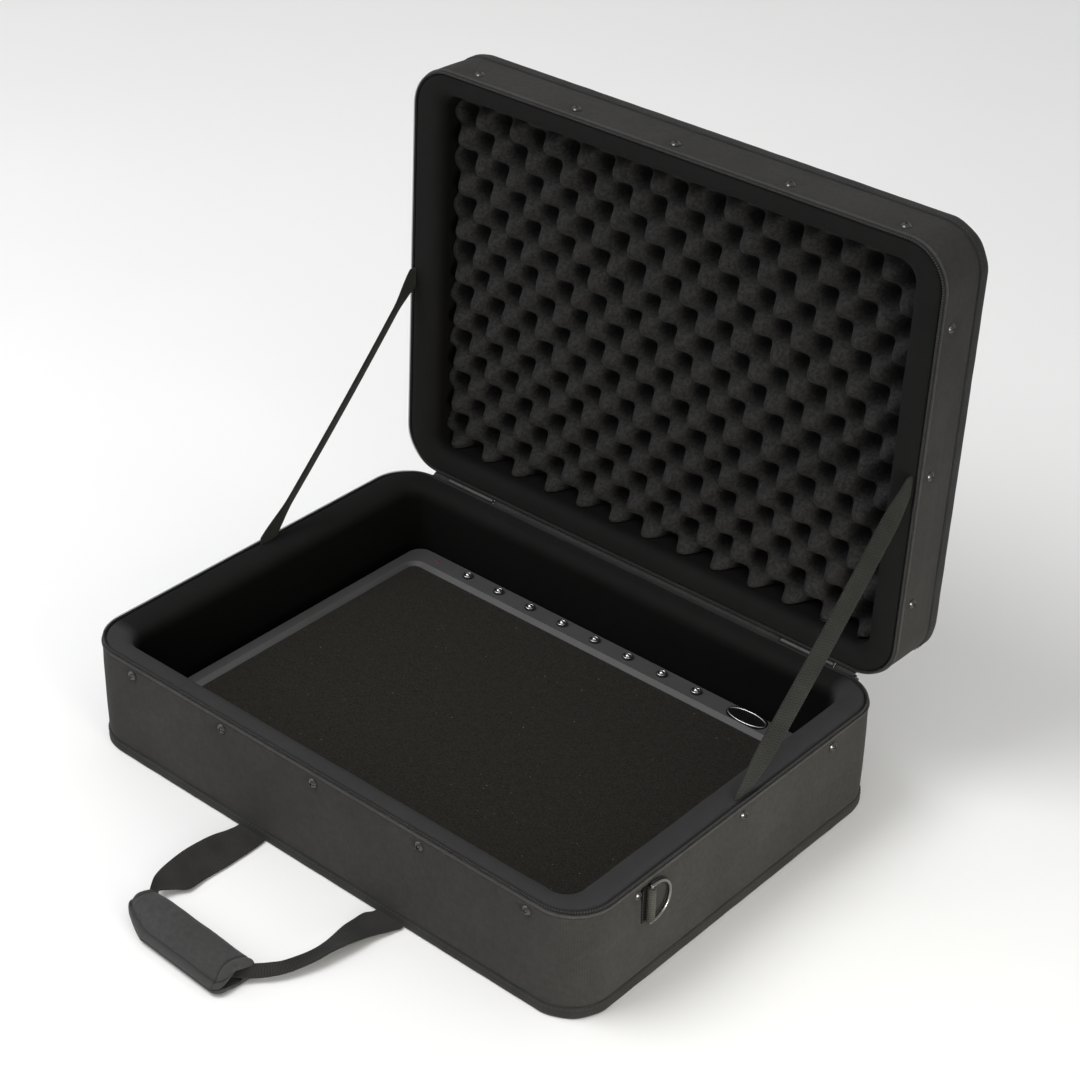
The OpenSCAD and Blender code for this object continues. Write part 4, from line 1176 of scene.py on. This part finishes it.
def make_tab(name, node, side):
    """Webbing rolled round the ring's straight leg, its neck going into the fabric, and beside it a
    near-black sheet as painted shadow where the neck goes in.
    """
    outline = []
    for k in range(17):
        a = pi * (0.1 + 1.22 * k / 16)
        outline.append((DRING_OUT + TAB_R * sin(a), DRING_Y + TAB_R * cos(a)))
    outline += [(out * MM, DRING_Y + y * MM) for out, y in ((0.6, -2.2), (-0.4, -2), (-0.4, 2.4), (0.6, 2.6))]
    bottom = DRING_Z - TAB_H / 2
    rings = []
    for k in (0, 0.03, 0.1, 0.25, 0.4, 0.55, 0.7, 0.85, 0.97, 1):
        shrink = 0.86 if k in (0, 1) else 1
        ring = []
        for out, y in outline:
            p = Vector((side * (HALF_W + out * shrink), DRING_Y + (y - DRING_Y) * shrink, bottom + TAB_H * k))
            ring.append(p + Vector((side * wavy(p, 0.01, 0.3 * MM), 0, 0)))
        rings.append(ring)
    tab = loft(name, rings, LOOP_WEB)
    dress(tab, "base", "webbing", node)
    up = Vector((side, 0, 0))
    x = side * (HALF_W + 0.35 * MM)
    # Painted shadow: a near-black sheet, a little proud of the fabric, beside the roll where the neck goes in
    shadow_patch = [Vector((x, DRING_Y + y * MM, DRING_Z + z * MM)) for y, z in
            ((-7, -17.5), (-7.8, -16), (-7.8, 16), (-7, 18), (2, 18), (2.6, 16), (2.6, -16), (2, -17.5))]
    rings = [[p + up * (out * MM) for p in shadow_patch] for out in (-0.6, 0.25)]
    rings.append([p + up * (0.5 * MM) + (Vector((x, DRING_Y - 4.7 * MM, DRING_Z)) - p) * 0.12 for p in shadow_patch])
    shadow_sheet = loft(f"{name}_slit", rings, FLOOR_PLUSH_AND_SHADOW)
    parts = stitch_data([Vector((x + side * 0.5 * MM, DRING_Y - 6.4 * MM, DRING_Z + z * TAB_H / 2))
                         for z in (-0.9, 0.9)], lambda p: up, pitch=2.8 * MM)
    for piece in (shadow_sheet, several(f"{name}_stitches", parts, THREAD)):
        dress(piece, "base", "webbing")


# ---- Board details ----

JACKS = 8
JACK_CONTACT_R = 2.4 * MM
WASHER_R = 3.7 * MM


def make_loop_pad():
    """Loop-pile sheet in the board's recess, its surface uneven and its edges worn round."""
    top, half_w, half_d = face_of("loop_pad", -0.2 * MM)
    pad = sheet_pad("board_loop_pile", (HALF_W - half_w, HALF_D - half_d),
                    lambda inset: max(1 * MM, 8 * MM - inset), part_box("loop_pad")[0].z, (top.z, top.z),
                    ((0, 0.9), (0.25, 0.4), (0.9, 0.1)), [(0.9 + 2.8 * i) * MM for i in range(1, 52)],
                    lambda p: wavy(p, 0.004, 0.28 * MM), LOOP, Vector((top.x, top.y, 0)))
    dress(pad, "board", "loop_pile", "loop_pad")


def make_badge_rim():
    """Plain bright rim round the blank oval badge."""
    skin = oval_wire(*face_of("badge_plate", 0.8 * MM), 0.7 * MM, 0.45 * MM, 96)
    rim = several("badge_rim", [skin], BADGE_RIM)
    dress(rim, "board", "badge")


def make_jack_washers():
    """Turned ring in each socket's mouth."""
    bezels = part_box("jack_bezels")
    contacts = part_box("jack_contacts")
    first = contacts[0].x + JACK_CONTACT_R
    last = contacts[1].x - JACK_CONTACT_R
    y = (contacts[0].y + contacts[1].y) / 2
    parts = []
    for k in range(JACKS):
        centre = Vector((first + (last - first) * k / (JACKS - 1), y, bezels[1].z))
        parts.append(oval_wire(centre, WASHER_R, WASHER_R, 0.62 * MM, 0.5 * MM, 32))
    dress(several("jack_washers", parts, CHROME), "board", "socket_chrome")


# ---- Floor and light ----


def make_floor():
    n = Nodes("studio_floor")
    patches = n.noise(0.4, 3)
    colour = n.mix(patches, (0.86, 0.86, 0.86), (0.9, 0.9, 0.9))
    material = n.surface(colour, 0.9, specular=0.1)
    size, bend = 4.0, 1.5
    line = [(-size, 0), (size - bend, 0)]
    line += [(size - bend + bend * sin(a), bend - bend * cos(a))
             for a in (pi / 2 * k / 12 for k in range(1, 13))]
    line.append((size, size))
    verts, faces = [], []
    for y, z in line:
        verts += [Vector((-2 * size, y, z)), Vector((2 * size, y, z))]
    for k in range(len(line) - 1):
        faces.append((2 * k, 2 * k + 1, 2 * k + 3, 2 * k + 2))
    uvs = [(0, 0)] * sum(len(f) for f in faces)
    floor = finish_mesh("studio_floor", verts, faces, uvs, material)


MIDDLE = (0, 0, 0.1)
WARM = (1.0, 0.97, 0.88)
# Name, place, what it points at, size in metres, watts, colour, spread in degrees
LIGHTS = [
    ("key_above", (-0.9, -1.2, 2.5), MIDDLE, 1.8, 48, (1, 1, 1), 180),
    ("fill_right", (2.6, -0.9, 1.2), MIDDLE, 1.4, 8.5, WARM, 180),
    ("card_right", (1.4, -0.45, 0.12), (0.28, -0.02, 0.03), 0.5, 1.65, (1.0, 0.97, 0.84), 48),
    ("fill_left", (-2.2, -1.6, 1.0), MIDDLE, 1.4, 6, (0.97, 0.98, 1.0), 180),
]
WORLD_STRENGTH = 0.62


def area_light(name, place, target, size, power, colour, spread):
    data = bpy.data.lights.new(name, "AREA")
    data.shape = "DISK"
    data.size = size
    data.energy = power
    data.color = colour
    data.spread = radians(spread)
    light = bpy.data.objects.new(name, data)
    light.location = place
    light.rotation_mode = "QUATERNION"
    light.rotation_quaternion = (Vector(target) - Vector(place)).to_track_quat("-Z", "Y")
    bpy.context.scene.collection.objects.link(light)


def make_light():
    world = bpy.data.worlds.new("studio")
    world.use_nodes = True
    background = world.node_tree.nodes["Background"]
    background.inputs[0].default_value = (1, 1, 1, 1)
    background.inputs[1].default_value = WORLD_STRENGTH
    bpy.context.scene.world = world
    bpy.context.scene.view_settings.view_transform = "Standard"
    for light in LIGHTS:
        area_light(*light)


# ---- The scene ----

make_camera()
make_light()
make_floor()
dress_cad_nodes()
make_box("base", BASE_H, 14 * MM, IDENTITY, Vector((0.3, 0.7, 0.2)),
         "base_bottom_panel", "base_bottom_binding")
make_box("lid", LID_H, 18 * MM, LID, Vector((5.1, 2.3, 1.7)), "lid_top_panel", "lid_top_binding")
make_floor_pad()
make_foam()
make_base_handle()
make_anchor_stitches()
make_lid_handle()
make_grip()
make_stay("stay_webbing_right", "stay_strap_right", 1)
make_stay("stay_webbing_left", "stay_strap_left", -1)
make_fabric_hinge()
make_tab("dring_loop_right", "dring_tab_right", 1)
make_tab("dring_loop_left", "dring_tab_left", -1)
make_loop_pad()
make_badge_rim()
make_jack_washers()
